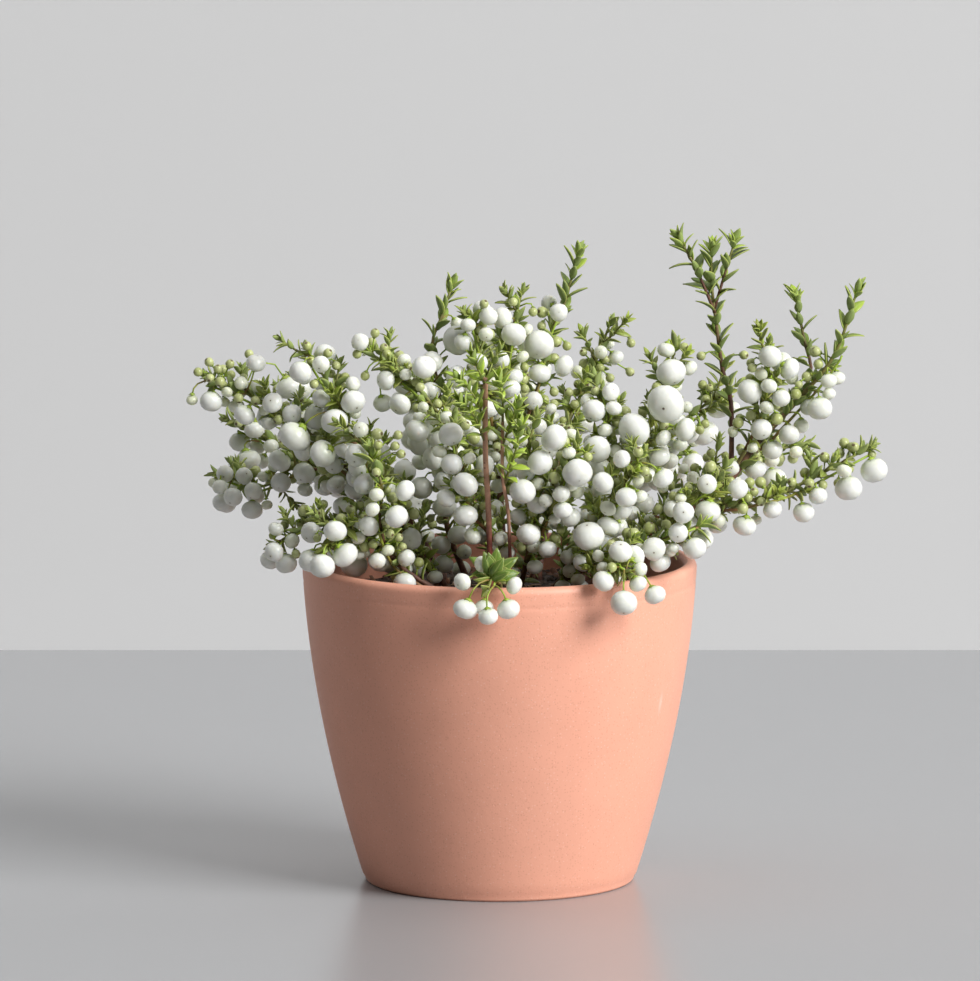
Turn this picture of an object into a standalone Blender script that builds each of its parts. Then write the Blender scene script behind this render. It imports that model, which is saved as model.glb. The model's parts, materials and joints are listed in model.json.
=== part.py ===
"""Potted prickly heath: a low evergreen shrub with white berries in a terracotta pot.

Run it with: blender --background --python part.py
Metres, +Z up. The origin is the middle of the pot's foot, and the side that is looked at faces -Y.
The growth rule places every stem, leaf and berry first. The builders below it then make the solids.
"""

import math
import random
from collections import namedtuple

import bmesh
import bpy
import numpy as np
from mathutils import Matrix, Vector

MM = 0.001

# Pot
POT_HEIGHT = 114.8 * MM
RIM_RADIUS = 70.0 * MM
FOOT_RADIUS = 48.0 * MM
BELLY_RADIUS = 67.2 * MM
BELLY_HEIGHT = 60.0 * MM
FOOT_ROUND = 1.5 * MM
RIM_ROUND = 2.4 * MM
RIM_WALL = 4.8 * MM
FOOT_WALL = 6.0 * MM
FLOOR_THICKNESS = 7.0 * MM
INNER_HEIGHTS = (FLOOR_THICKNESS + 4 * MM, 60 * MM, POT_HEIGHT - RIM_ROUND)
POT_STEPS = 40

# Soil
SOIL_TOP = 102.5 * MM
SOIL_DOME = 2.0 * MM
SOIL_GAP = 0.3 * MM
SOIL_STEPS = 24
HOLE_DEPTH = 14.0 * MM
HOLE_GAP = 0.4 * MM

# Stems, in which a rachis is the slim stalk beside a stem that its berries hang from
NODE_GAP = 0.35 * MM
TUBE_STEP = 13.0 * MM
RACHIS_RADIUS = 0.6 * MM
STALK_RADIUS = 0.4 * MM

# Leaves
LEAF_LENGTH = (5.2 * MM, 7.6 * MM)
LEAF_SHAPE = 0.38
LEAF_BROADEST = 0.45
LEAF_THICKNESS = 0.9 * MM
LEAF_RISE = (38.0, 62.0)
LEAF_TURN = 137.5

# Berries
BERRY_RADIUS = (3.3 * MM, 4.5 * MM)
BERRY_SQUASH = 0.88
BERRY_SIDES = ((4.8 * MM, 8), (3.9 * MM, 7), (0.0, 6))
GREEN_RADIUS = 1.7 * MM
BERRY_SINK = 0.1 * MM
GREEN_STALK = (3.0 * MM, 5.0 * MM)

# In front of BACK_FROM, berries hang away from a point FRONT_MIDDLE behind the pot's axis
BACK_FROM = 15.0 * MM
FRONT_MIDDLE = 45.0 * MM

# The share of its triangles that a fused node keeps, or the next one if the mesh would open
KEPT_IN_STEMS = (0.68, 0.7, 0.73, 0.76, 0.8, 0.85, 0.9, 1.0)
KEPT_IN_BUNCHES = (0.74, 0.76, 0.78, 0.8, 0.84, 0.88, 0.94, 1.0)

SEED = 7
TRIES = 40
STEM, RACHIS, BERRY, STALK, LEAF, GREEN = range(6)

# Linear colour, roughness
LOOKS = {
    "terracotta": ((0.62, 0.26, 0.15), 0.8),
    "potting_soil": ((0.035, 0.022, 0.015), 0.95),
    "foliage": ((0.10, 0.19, 0.035), 0.5),
    "bare_stalk": ((0.33, 0.12, 0.07), 0.7),
    "berry": ((0.84, 0.85, 0.78), 0.35),
}

Branch = namedtuple(
    "Branch",
    "name parent start knots thick leaves leaf_from greens berries zone marks hang",
    defaults=(1.0, 8, 0.45, 0, 0, (0.35, 0.95), (), None),
)

# Each stem is a main branch and its side branches. A main branch starts at its place in the soil (x, y),
# and a side branch at a share of its parent's length. Knots are (x, y, z), marks are large berries as
# (x, y, z, diameter), and thick is the radius at the start: all in millimetres. Berries hang on the side
# that hang points to, or else out of the bush and down.
STEMS = {
    "left_high": (
        Branch("left_high", None, (-22, -4),
               ((-37, -8, 130), (-60, -10, 155), (-84, -6, 172), (-104, 0, 180)),
               1.4, 6, 0.5, 3, 3, (0.5, 0.97),
               ((-75, 8, 175, 9.2), (-90, -12, 168, 7.8), (-102, -6, 172, 8.2), (-80, -17, 173, 7.4))),
        Branch("left_sprig", "left_high", 0.34, ((-50, -18, 158), (-58, -20, 176), (-68, -16, 192)),
               0.9, 6, 0.4, 2, 2, (0.3, 0.9),
               ((-72, -25, 162, 11.7), (-58, -29, 168, 9.9), (-64, -9, 167, 10.6))),
        Branch("left_shade", "left_high", 0.4, ((-68, 8, 148), (-84, 14, 139), (-100, 18, 143)),
               0.8, 4, 0.4, 0, 3, (0.45, 0.97),
               ((-98, 13, 133, 8.5), (-88, 10, 131, 7.8), (-95, 25, 137, 6.4))),
    ),
    "left_front": (
        Branch("left_front", None, (-28, -18),
               ((-44, -30, 128), (-58, -34, 134), (-70, -31, 130), (-79, -26, 124)),
               1.1, 6, 0.45, 2, 2, (0.55, 0.98),
               ((-75, -32, 118, 7.8), (-81, -24, 118, 7.1))),
        Branch("left_rim", "left_front", 0.45, ((-54, -43, 131), (-60, -50, 126)),
               0.8, 3, 0.4, 0, 0, (0.3, 0.95),
               ((-54, -52, 124, 9.6), (-66, -46, 121, 9.2))),
    ),
    "left_mid": (
        Branch("left_mid", None, (-19, -13), ((-34, -24, 130), (-44, -34, 148), (-50, -36, 166)),
               1.1, 5, 0.5, 1, 3, (0.4, 0.95),
               ((-62, -32, 157, 9.9), (-50, -44, 158, 8.5), (-47, -44, 148, 8.5))),
    ),
    "front_left_twig": (
        Branch("front_left_twig", None, (-20, -32),
               ((-37, -38, 120), (-42, -46, 135), (-41, -50, 147), (-45, -48, 160)),
               1.0, 6, 0.5, 4, 2, (0.3, 0.85),
               ((-36, -55, 138, 8.5), (-33, -54, 147, 7.8))),
    ),
    "arching_left": (
        Branch("arching_left", None, (-11, -6),
               ((-19, -12, 131), (-17, -20, 157), (-26, -24, 176), (-47, -18, 192)),
               1.2, 6, 0.5, 4, 3, (0.42, 0.85),
               ((-35, -28, 174, 8.2), (-29, -32, 165, 8.5), (-40, -25, 182, 7.1))),
        Branch("upright_left", "arching_left", 0.42,
               ((-21, -2, 172), (-24, 4, 190), (-20, 7, 202), (-17, 9, 211)),
               0.9, 12, 0.45, 0, 1, (0.25, 0.6),
               ((-15, 0, 193, 11.0), (-15, -8, 181, 8.5))),
    ),
    "centre": (
        Branch("centre", None, (2, 7), ((0, 5, 146), (2, 7, 171), (4, 10, 192), (8, 13, 209)),
               1.4, 6, 0.6, 1, 2, (0.55, 0.9),
               ((5, 1, 195, 9.2), (0, 1, 186, 7.4))),
        Branch("centre_left", "centre", 0.45, ((-4, -4, 174), (-7, -6, 190), (-10, -8, 202)),
               0.8, 4, 0.4, 2, 2, (0.35, 0.95),
               ((-4, -10, 203, 7.1),)),
        Branch("upright_centre", "centre", 0.42,
               ((13, 17, 172), (18, 22, 192), (23, 24, 203), (28, 27, 221)),
               0.9, 12, 0.5, 1, 2, (0.35, 0.72),
               ((14, 12, 190, 11.0), (21, 16, 201, 6.6)), (0, -1, -0.2)),
    ),
    "centre_front": (
        Branch("centre_front", None, (7, -26), ((11, -35, 128), (13, -46, 150), (8, -50, 166)),
               1.1, 4, 0.5, 1, 1, (0.5, 0.95),
               ((8, -56, 147, 9.4), (14, -55, 157, 9.2), (10, -50, 131, 8.5))),
        Branch("centre_front_right", "centre_front", 0.35, ((20, -50, 145), (27, -51, 163)),
               0.8, 4, 0.4, 1, 2, (0.35, 0.95),
               ((19, -57, 166, 9.9), (27, -59, 154, 10.6), (22, -54, 140, 7.1))),
        Branch("centre_front_left", "centre_front", 0.25,
               ((-10, -43, 140), (-15, -44, 158), (-16, -38, 170)),
               0.8, 5, 0.4, 2, 3, (0.45, 0.95),
               ((-12, -53, 149, 9.2),)),
    ),
    "front_rim": (
        Branch("front_rim", None, (1, -51), ((0, -58, 115), (-2, -68, 120), (-4, -78, 116)),
               0.9, 9, 0.62, 1, 1, (0.66, 0.98),
               ((-12, -79, 109, 8.5), (-4, -82, 107, 7.1), (3, -79, 109, 8.2), (5, -77, 117, 6.4),
                (-13, -75, 118, 6.4)), (0, -1, -0.3)),
    ),
    "right_rim": (
        Branch("right_rim", None, (17, -30), ((29, -41, 122), (37, -55, 122), (45, -65, 119)),
               1.0, 5, 0.5, 0, 1, (0.5, 0.98),
               ((31, -54, 131, 11.3), (42, -64, 127, 8.5), (36, -67, 117, 7.8), (43, -71, 110, 9.6),
                (54, -66, 112, 7.8)), (0.3, -1, 0.2)),
        Branch("right_brown", "right_rim", 0.3, ((45, -42, 125), (55, -46, 128), (71, -45, 134)),
               0.8, 6, 0.3, 0, 1, (0.5, 0.95),
               ((71, -42, 128, 7.8), (64, -52, 139, 7.8)), (0, -1, -0.2)),
    ),
    "right_mid": (
        Branch("right_mid", None, (22, -9),
               ((36, -20, 135), (48, -29, 158), (55, -31, 173), (62, -23, 194)),
               1.3, 6, 0.5, 1, 1, (0.5, 0.95),
               ((58, -43, 176, 13.5), (47, -42, 167, 12.0), (60, -34, 186, 10.6), (65, -36, 166, 8.5)),
               (0.2, -1, -0.2)),
        Branch("right_inner", "right_mid", 0.4, ((38, -34, 159), (36, -30, 179)),
               0.8, 4, 0.4, 2, 2, (0.3, 0.95),
               ((34, -43, 160, 9.9), (33, -38, 173, 8.5)), (0, -1, -0.2)),
        Branch("right_front", "right_mid", 0.2, ((38, -42, 137), (44, -50, 150), (50, -50, 160)),
               0.9, 4, 0.4, 1, 3, (0.35, 0.95),
               ((36, -55, 150, 7.8), (44, -57, 145, 7.8), (57, -52, 151, 7.8))),
    ),
    "right_woody": (
        Branch("right_woody", None, (30, 1),
               ((53, -3, 124), (78, -4, 140), (90, -2, 155), (104, 0, 170), (118, -4, 188), (126, -6, 211)),
               1.7, 12, 0.62, 1, 1, (0.6, 0.86),
               ((113, -10, 170, 9.2), (116, -11, 180, 5.9))),
        Branch("tall_shoot", "right_woody", 0.5,
               ((82, 4, 170), (79, 5, 182), (77, 5, 196), (75, 5, 213), (75, 5, 225)),
               1.0, 12, 0.4, 0, 0),
        Branch("tall_shoot_left", "tall_shoot", 0.72, ((70, 4, 217), (64, 4, 228)), 0.6, 6, 0.25, 0, 0),
        Branch("tall_shoot_right", "tall_shoot", 0.74, ((80, 6, 217), (83, 6, 227)), 0.6, 5, 0.25, 0, 0),
        Branch("right_shoot", "right_woody", 0.66, ((110, 7, 179), (108, 10, 192), (105, 12, 207)),
               0.8, 8, 0.3, 0, 0),
        Branch("right_high", "right_woody", 0.5, ((93, -12, 170), (95, -14, 193)),
               0.8, 4, 0.4, 3, 1, (0.35, 0.95),
               ((95, -21, 190, 8.5), (102, -16, 185, 7.8), (88, -17, 177, 9.2), (99, -20, 175, 6.7)),
               (0, -1, -0.1)),
    ),
    "right_low": (
        Branch("right_low", None, (29, -16),
               ((57, -22, 123), (79, -24, 137), (100, -22, 142), (131, -14, 157)),
               1.3, 9, 0.5, 2, 1, (0.6, 0.98),
               ((132, -17, 149, 9.9), (123, -20, 143, 9.9), (107, -24, 135, 7.8), (112, -25, 141, 6.7))),
        Branch("right_edge", "right_low", 0.3, ((66, -31, 140), (77, -34, 148)),
               0.8, 4, 0.4, 1, 2, (0.3, 0.95),
               ((86, -29, 131, 8.5), (73, -35, 137, 9.2))),
    ),
    "left_back": (
        Branch("left_back", None, (-32, 3), ((-52, 20, 136), (-76, 32, 150), (-98, 38, 160)),
               1.2, 7, 0.45, 1, 4, (0.45, 0.95),
               ((-90, 30, 146, 9.4), (-70, 36, 140, 8.6))),
    ),
    "back_left": (
        Branch("back_left", None, (-20, 16), ((-40, 36, 136), (-60, 54, 156), (-80, 68, 168)),
               1.3, 7, 0.45, 1, 4, (0.45, 0.95), ((-66, 62, 150, 9.6),)),
        Branch("back_left_low", "back_left", 0.35, ((-52, 62, 138), (-62, 78, 138)),
               0.8, 4, 0.35, 1, 3, (0.3, 0.95), ((-58, 76, 130, 9.0),)),
    ),
    "back": (
        Branch("back", None, (-2, 24), ((-8, 48, 136), (-14, 72, 154), (-18, 92, 160)),
               1.3, 7, 0.45, 1, 4, (0.45, 0.95), ((-14, 84, 149, 10.2),)),
        Branch("back_rise", "back", 0.35, ((-24, 58, 156), (-38, 62, 180)),
               0.9, 5, 0.35, 1, 4, (0.3, 0.95), ((-34, 56, 170, 8.8),)),
    ),
    "back_high": (
        Branch("back_high", None, (14, 22), ((22, 40, 150), (32, 54, 172), (40, 60, 192)),
               1.3, 7, 0.45, 1, 4, (0.4, 0.95), ((34, 62, 170, 10.4),)),
        Branch("back_middle", "back_high", 0.4, ((8, 48, 168), (0, 54, 188)),
               0.9, 5, 0.35, 1, 4, (0.3, 0.95), ((0, 60, 178, 9.0),)),
    ),
    "back_right": (
        Branch("back_right", None, (23, 15), ((42, 34, 136), (64, 50, 156), (86, 60, 170)),
               1.3, 7, 0.45, 1, 4, (0.45, 0.95), ((74, 58, 152, 10.0),)),
        Branch("back_right_low", "back_right", 0.35, ((56, 64, 142), (68, 82, 142)),
               0.8, 4, 0.35, 1, 3, (0.3, 0.95), ((64, 80, 134, 9.2),)),
    ),
    "right_back": (
        Branch("right_back", None, (34, 10), ((60, 20, 132), (86, 28, 146), (110, 34, 152)),
               1.2, 7, 0.45, 1, 4, (0.45, 0.95), ((98, 30, 139, 9.4),)),
    ),
}

# Two bare stalks, cut off at the top and seen against the berries: (x, y) in the soil, knots and radius
BARE_STALKS = {
    "cut_stalk": ((-3, -40), ((-4, -48, 140), (-5, -53, 160), (-5, -56, 187)), 1.1),
    "thin_stalk": ((4, -40), ((3, -50, 138), (1, -57, 152), (1, -59, 172)), 0.7),
}

Plant = namedtuple("Plant", "space tubes leaves greens bunches")
Tube = namedtuple("Tube", "node points radii")
Leaf = namedtuple("Leaf", "node root along up length")
Green = namedtuple("Green", "node anchor centre")
Bunch = namedtuple("Bunch", "node rachis berries")
Berry = namedtuple("Berry", "anchor centre radius stalked")


class Space:
    """The rods taken up so far, each from one point to another with a radius, in a node and of a kind."""

    def __init__(self, room=6000):
        self.count = 0
        self.starts = np.zeros((room, 3))
        self.ends = np.zeros((room, 3))
        self.radii = np.zeros(room)
        self.owners = np.zeros(room, int)
        self.kinds = np.zeros(room, int)
        self.names = {}

    def owner(self, node):
        return self.names.setdefault(node, len(self.names))

    def add(self, node, kind, start, end, radius):
        row = self.count
        self.starts[row] = start
        self.ends[row] = end
        self.radii[row] = radius
        self.owners[row] = self.owner(node)
        self.kinds[row] = kind
        self.count += 1

    def distances(self, start, end):
        """The distance from the rod's middle line to each rod's middle line."""
        rows = slice(0, self.count)
        p1, d1 = np.array(start), np.array(end) - np.array(start)
        p2, d2 = self.starts[rows], self.ends[rows] - self.starts[rows]
        r = p1 - p2
        a = max(d1 @ d1, 1e-12)
        e = np.maximum((d2 * d2).sum(axis=1), 1e-12)
        f = (d2 * r).sum(axis=1)
        c = r @ d1
        b = d2 @ d1
        spread = np.maximum(a * e - b * b, 1e-18)
        s = np.clip((b * f - c * e) / spread, 0, 1)
        t = (b * s + f) / e
        s = np.where(t < 0, np.clip(-c / a, 0, 1), np.where(t > 1, np.clip((b - c) / a, 0, 1), s))
        t = np.clip(t, 0, 1)
        apart = r + s[:, None] * d1 - t[:, None] * d2
        return np.sqrt((apart * apart).sum(axis=1))

    def clear(self, node, start, end, radius, ignore=(), gap=NODE_GAP, own_gap=0.1 * MM):
        """Whether the rod keeps its gap to every other rod, but for its own node's kinds in ignore."""
        if not self.count:
            return True
        rows = slice(0, self.count)
        own = self.owners[rows] == self.owner(node)
        room = self.distances(start, end) - self.radii[rows] - radius - np.where(own, own_gap, gap)
        skipped = own & np.isin(self.kinds[rows], ignore)
        return bool((room[~skipped] > 0).all())


def wall_radius(height):
    """The pot's outer radius at a height, along the curve from foot to rim."""
    top = POT_HEIGHT - RIM_ROUND
    a = top - 2 * BELLY_HEIGHT
    share = (-BELLY_HEIGHT + math.sqrt(BELLY_HEIGHT**2 + a * height)) / a
    rest = 1 - share
    return rest**2 * FOOT_RADIUS + 2 * rest * share * BELLY_RADIUS + share**2 * RIM_RADIUS


def clears_pot(start, end, radius):
    """Whether a rod keeps clear of the soil and of the pot's wall and rim."""
    for share in (0.0, 0.5, 1.0):
        point = start.lerp(end, share)
        low = point.z - radius - 2 * NODE_GAP
        out = math.hypot(point.x, point.y)
        if low > POT_HEIGHT:
            continue
        inside = out + radius + 2 * NODE_GAP < RIM_RADIUS - RIM_WALL
        if inside and low > SOIL_TOP + SOIL_DOME:
            continue
        if not inside and out - radius - 2 * NODE_GAP > RIM_RADIUS:
            continue
        return False
    return True


def spline(knots, step):
    """Points about a step apart on a smooth curve through the knots."""
    ends = [2 * knots[0] - knots[1]] + list(knots) + [2 * knots[-1] - knots[-2]]
    points = [knots[0]]
    for before, here, there, after in zip(ends, ends[1:], ends[2:], ends[3:]):
        parts = max(1, round((there - here).length / step))
        for part in range(1, parts + 1):
            t = part / parts
            points.append(
                0.5
                * (
                    2 * here
                    + (there - before) * t
                    + (2 * before - 5 * here + 4 * there - after) * t**2
                    + (3 * here - before - 3 * there + after) * t**3
                )
            )
    return points


def along(points, share):
    """The point at a share of a path's length, and the direction there."""
    lengths = [(b - a).length for a, b in zip(points, points[1:])]
    left = share * sum(lengths)
    for start, end, length in zip(points, points[1:], lengths):
        if left <= length or end is points[-1]:
            return start.lerp(end, min(1.0, left / length)), (end - start).normalized()
        left -= length


def in_metres(knots):
    return [Vector(knot) * MM for knot in knots]


def lay_tube(plant, node, points, thick, thin):
    """A tapered tube along the points, with its rods in the space."""
    radii = [thick + (thin - thick) * i / (len(points) - 1) for i in range(len(points))]
    plant.tubes.append(Tube(node, points, radii))
    for start, end, r0, r1 in zip(points, points[1:], radii, radii[1:]):
        plant.space.add(node, STEM, start, end, max(r0, r1))


def soil_path(root, knots, step):
    """A path that stands straight in its hole and curves off above the soil."""
    ground = Vector((root[0] * MM, root[1] * MM, SOIL_TOP + SOIL_DOME))
    foot = ground - Vector((0, 0, HOLE_DEPTH - HOLE_GAP))
    rise = ground + Vector((0, 0, 2.5 * MM))
    return [foot] + spline([rise] + in_metres(knots), step)


def hang_side(point, direction, hang):
    """The side that berries hang on, square to a stem: the one asked for, or out of the bush and down."""
    if hang:
        out = Vector(hang)
    else:
        middle = FRONT_MIDDLE if point.y < BACK_FROM else 0
        out = Vector((point.x, point.y - middle, 0)).normalized() + Vector((0, 0, -0.8))
    return (out - direction * out.dot(direction)).normalized()


def lay_rachis(plant, branch, path, radius):
    """The berries' own stalk, beside its stem over the branch's berry zone."""
    lengths = [0.0]
    for start, end in zip(path, path[1:]):
        lengths.append(lengths[-1] + (end - start).length)
    first, last = branch.zone
    shares = [first] + [x / lengths[-1] for x in lengths if first < x / lengths[-1] < last] + [last]
    offset = radius + RACHIS_RADIUS + NODE_GAP + 0.15 * MM
    points = []
    for share in shares:
        point = along(path, share)[0]
        direction = along(path, min(1.0, share + 0.02))[1] + along(path, max(0.0, share - 0.02))[1]
        points.append(point + hang_side(point, direction.normalized(), branch.hang) * offset)
    node = "berries_" + branch.name
    for start, end in zip(points, points[1:]):
        plant.space.add(node, RACHIS, start, end, RACHIS_RADIUS)
    bunch = Bunch(node, points, [])
    plant.bunches.append(bunch)
    return bunch


def hang_berry(plant, bunch, anchor, centre, radius):
    """Adds a berry where it and its stalk are clear, and says whether they were."""
    reach = (centre - anchor).normalized()
    tip = centre - reach * radius * 0.6
    start = anchor + reach * (RACHIS_RADIUS + 0.2 * MM)
    stalked = (centre - anchor).length > BERRY_SQUASH * radius + RACHIS_RADIUS / 2
    space = plant.space
    if not clears_pot(centre, centre, radius):
        return False
    if not space.clear(bunch.node, centre, centre, radius, (RACHIS,)):
        return False
    if stalked and not space.clear(bunch.node, start, tip, STALK_RADIUS, (RACHIS,)):
        return False
    space.add(bunch.node, BERRY, centre, centre, radius)
    if stalked:
        space.add(bunch.node, STALK, start, tip, STALK_RADIUS)
    bunch.berries.append(Berry(anchor, centre, radius, stalked))
    return True


def hang_mark(plant, bunch, mark):
    """A large berry at its own place, from the nearest clear point of the rachis."""
    centre = Vector(mark[:3]) * MM
    anchors = [along(bunch.rachis, i / 12)[0] for i in range(13)]
    anchors.sort(key=lambda anchor: (anchor - centre).length)
    for anchor in anchors:
        if hang_berry(plant, bunch, anchor, centre, mark[3] * MM / 2):
            return
    raise ValueError(f"no room in {bunch.node} for {mark}")


def hang_bunch(plant, bunch, branch, rng):
    """Berries by the rule: at a random place, close on the rachis, facing out of the bush."""
    hung = 0
    for _ in range(branch.berries * TRIES):
        if hung == branch.berries:
            break
        anchor, direction = along(bunch.rachis, rng.uniform(0.02, 0.98))
        loose = Vector((rng.gauss(0, 0.7), rng.gauss(0, 0.7), rng.gauss(0, 0.6)))
        reach = (hang_side(anchor, direction, branch.hang) + loose).normalized()
        radius = rng.uniform(*BERRY_RADIUS)
        centre = anchor + reach * (BERRY_SQUASH * radius + BERRY_SINK)
        hung += hang_berry(plant, bunch, anchor, centre, radius)


def sprout_greens(plant, node, path, branch, rng):
    """Unripe berries on short green stalks near the branch's end."""
    grown = 0
    for _ in range(branch.greens * TRIES):
        if grown == branch.greens:
            break
        anchor, direction = along(path, rng.uniform(0.5, 0.97))
        loose = Vector((rng.gauss(0, 1), rng.gauss(0, 1), rng.gauss(0.5, 1)))
        reach = (loose - direction * loose.dot(direction) * 0.7).normalized()
        centre = anchor + reach * (rng.uniform(*GREEN_STALK) + GREEN_RADIUS)
        tip = centre - reach * GREEN_RADIUS * 0.6
        start = anchor + reach * 1.3 * MM
        space = plant.space
        if not clears_pot(centre, centre, GREEN_RADIUS):
            continue
        if not space.clear(node, centre, centre, GREEN_RADIUS):
            continue
        if not space.clear(node, start, tip, STALK_RADIUS, (STEM,)):
            continue
        space.add(node, GREEN, centre, centre, GREEN_RADIUS)
        space.add(node, STALK, start, tip, STALK_RADIUS)
        plant.greens.append(Green(node, anchor, centre))
        grown += 1


def sprout_leaf(plant, node, root, grow, up, length):
    """Adds a leaf where it is clear."""
    width = length * LEAF_SHAPE / 2
    start, end = root + grow * length * 0.32, root + grow * (length - width * 0.6)
    if not clears_pot(start, end, width):
        return False
    if not plant.space.clear(node, start, end, width, (STEM,)):
        return False
    plant.space.add(node, LEAF, start, end, width)
    plant.leaves.append(Leaf(node, root, grow, up, length))
    return True


def sprout_leaves(plant, node, path, branch, rng):
    """Leaves in a spiral up the branch, steeper towards its tip, and one at the very tip."""
    turn = rng.uniform(0, 360)
    for i in range(branch.leaves):
        share = branch.leaf_from + (0.985 - branch.leaf_from) * i / max(1, branch.leaves - 1)
        for _ in range(8):
            turn += LEAF_TURN
            root, direction = along(path, share)
            side = direction.orthogonal().normalized()
            side.rotate(Matrix.Rotation(math.radians(turn), 3, direction))
            rise = math.radians(rng.uniform(*LEAF_RISE) * (1.15 - 0.65 * share))
            grow = (direction * math.cos(rise) + side * math.sin(rise)).normalized()
            up = (direction - grow * direction.dot(grow)).normalized()
            length = rng.uniform(*LEAF_LENGTH)
            if sprout_leaf(plant, node, root, grow, up, length):
                break
    tip, direction = path[-1], (path[-1] - path[-2]).normalized()
    sprout_leaf(plant, node, tip - direction * 0.5 * MM, direction, direction.orthogonal(), LEAF_LENGTH[0])


def grow_plant():
    """Places all stems, then the berries, then the unripe berries and the leaves."""
    plant = Plant(Space(), [], [], [], [])
    paths = {}
    bunches = {}
    for node, branches in STEMS.items():
        for branch in branches:
            thick = branch.thick * MM
            if branch.parent is None:
                path = soil_path(branch.start, branch.knots, TUBE_STEP)
            else:
                start, _ = along(paths[branch.parent], branch.start)
                path = spline([start] + in_metres(branch.knots), TUBE_STEP)
            paths[branch.name] = path
            lay_tube(plant, node, path, thick, 0.5 * MM)
    for node, (root, knots, radius) in BARE_STALKS.items():
        lay_tube(plant, node, soil_path(root, knots, TUBE_STEP), radius * MM, radius * 0.85 * MM)
    everything = [(node, branch) for node, branches in STEMS.items() for branch in branches]
    for node, branch in everything:
        if branch.berries or branch.marks:
            bunches[branch.name] = lay_rachis(plant, branch, paths[branch.name], branch.thick * MM)
    for node, branch in everything:
        for mark in branch.marks:
            hang_mark(plant, bunches[branch.name], mark)
    for order, (node, branch) in enumerate(everything):
        rng = random.Random(SEED * 1000 + order)
        if branch.berries:
            hang_bunch(plant, bunches[branch.name], branch, rng)
        sprout_greens(plant, node, paths[branch.name], branch, rng)
    for order, (node, branch) in enumerate(everything):
        rng = random.Random(SEED * 2000 + order)
        sprout_leaves(plant, node, paths[branch.name], branch, rng)
    return plant


def material(name):
    """A plain Principled material in one of the colours above."""
    if name in bpy.data.materials:
        return bpy.data.materials[name]
    colour, roughness = LOOKS[name]
    made = bpy.data.materials.new(name)
    made.use_nodes = True
    shader = made.node_tree.nodes["Principled BSDF"]
    shader.inputs["Base Color"].default_value = (*colour, 1)
    shader.inputs["Roughness"].default_value = roughness
    shader.inputs["Metallic"].default_value = 0.0
    made.diffuse_color = (*colour, 1)
    return made


def put(obj, collection, look=None):
    collection.objects.link(obj)
    if look:
        obj.data.materials.clear()
        obj.data.materials.append(material(look))
    return obj


def mesh_object(name, bm, collection):
    bmesh.ops.recalc_face_normals(bm, faces=bm.faces[:])
    mesh = bpy.data.meshes.new(name)
    bm.to_mesh(mesh)
    bm.free()
    return put(bpy.data.objects.new(name, mesh), collection)


def tube_object(name, points, radii, collection, sides=4):
    """A mesh tube with closed ends, made from a curve."""
    curve = bpy.data.curves.new(name, "CURVE")
    curve.dimensions = "3D"
    curve.bevel_depth = 1.0
    curve.bevel_resolution = (sides - 4) // 2
    curve.use_fill_caps = True
    line = curve.splines.new("POLY")
    line.points.add(len(points) - 1)
    for target, point, radius in zip(line.points, points, radii):
        target.co = (*point, 1)
        target.radius = radius
    guide = bpy.data.objects.new(name + "_guide", curve)
    collection.objects.link(guide)
    graph = bpy.context.evaluated_depsgraph_get()
    mesh = bpy.data.meshes.new_from_object(guide.evaluated_get(graph))
    bm = bmesh.new()
    bm.from_mesh(mesh)
    bmesh.ops.remove_doubles(bm, verts=bm.verts[:], dist=0.01 * MM)
    bpy.data.objects.remove(guide)
    bpy.data.meshes.remove(mesh)
    return mesh_object(name, bm, collection)


def turned_object(name, profile, steps, collection, look):
    """A profile of (radius, height) points turned round the Z axis by a Screw modifier."""
    mesh = bpy.data.meshes.new(name)
    mesh.from_pydata([(radius, 0, height) for radius, height in profile],
                     [(i, i + 1) for i in range(len(profile) - 1)], [])
    obj = put(bpy.data.objects.new(name, mesh), collection, look)
    screw = obj.modifiers.new("turn", "SCREW")
    screw.axis = "Z"
    screw.angle = 2 * math.pi
    screw.steps = steps
    screw.render_steps = steps
    screw.use_merge_vertices = True
    screw.merge_threshold = 0.00001
    screw.use_smooth_shade = True
    return obj


def arc(middle, radius, first, last, parts):
    """Points (radius, height) round a middle, from one angle to another in degrees."""
    angles = [math.radians(first + (last - first) * i / parts) for i in range(parts + 1)]
    return [(middle[0] + radius * math.cos(a), middle[1] + radius * math.sin(a)) for a in angles]


def inner_radius(height):
    """The radius of the pot's inside at a height, along the curve."""
    top = INNER_HEIGHTS[-1]
    return wall_radius(height) - FOOT_WALL + (FOOT_WALL - RIM_WALL) * height / top


def facet_radius(height):
    """The same radius on the straight runs between the inside's own heights."""
    return float(np.interp(height, INNER_HEIGHTS, [inner_radius(h) for h in INNER_HEIGHTS]))


def build_pot(collection):
    """The pot: a curved wall with a round rim, a thicker floor and a flat foot."""
    top = POT_HEIGHT - RIM_ROUND
    outer_heights = (92 * MM, 68 * MM, 45 * MM, 23 * MM, 2 * FOOT_ROUND)
    profile = [(0, FLOOR_THICKNESS), (inner_radius(FLOOR_THICKNESS) - 4 * MM, FLOOR_THICKNESS)]
    profile += [(inner_radius(height), height) for height in INNER_HEIGHTS[:-1]]
    profile += arc((RIM_RADIUS - RIM_WALL + RIM_ROUND, top), RIM_ROUND, 180, 90, 2)
    profile += arc((RIM_RADIUS - RIM_ROUND, top), RIM_ROUND, 90, 0, 3)[1:]
    profile += [(wall_radius(height), height) for height in outer_heights]
    profile += arc((FOOT_RADIUS - FOOT_ROUND, FOOT_ROUND), FOOT_ROUND, 0, -90, 2)
    profile += [(0, 0)]
    turned_object("pot", profile, POT_STEPS, collection, "terracotta")


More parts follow.
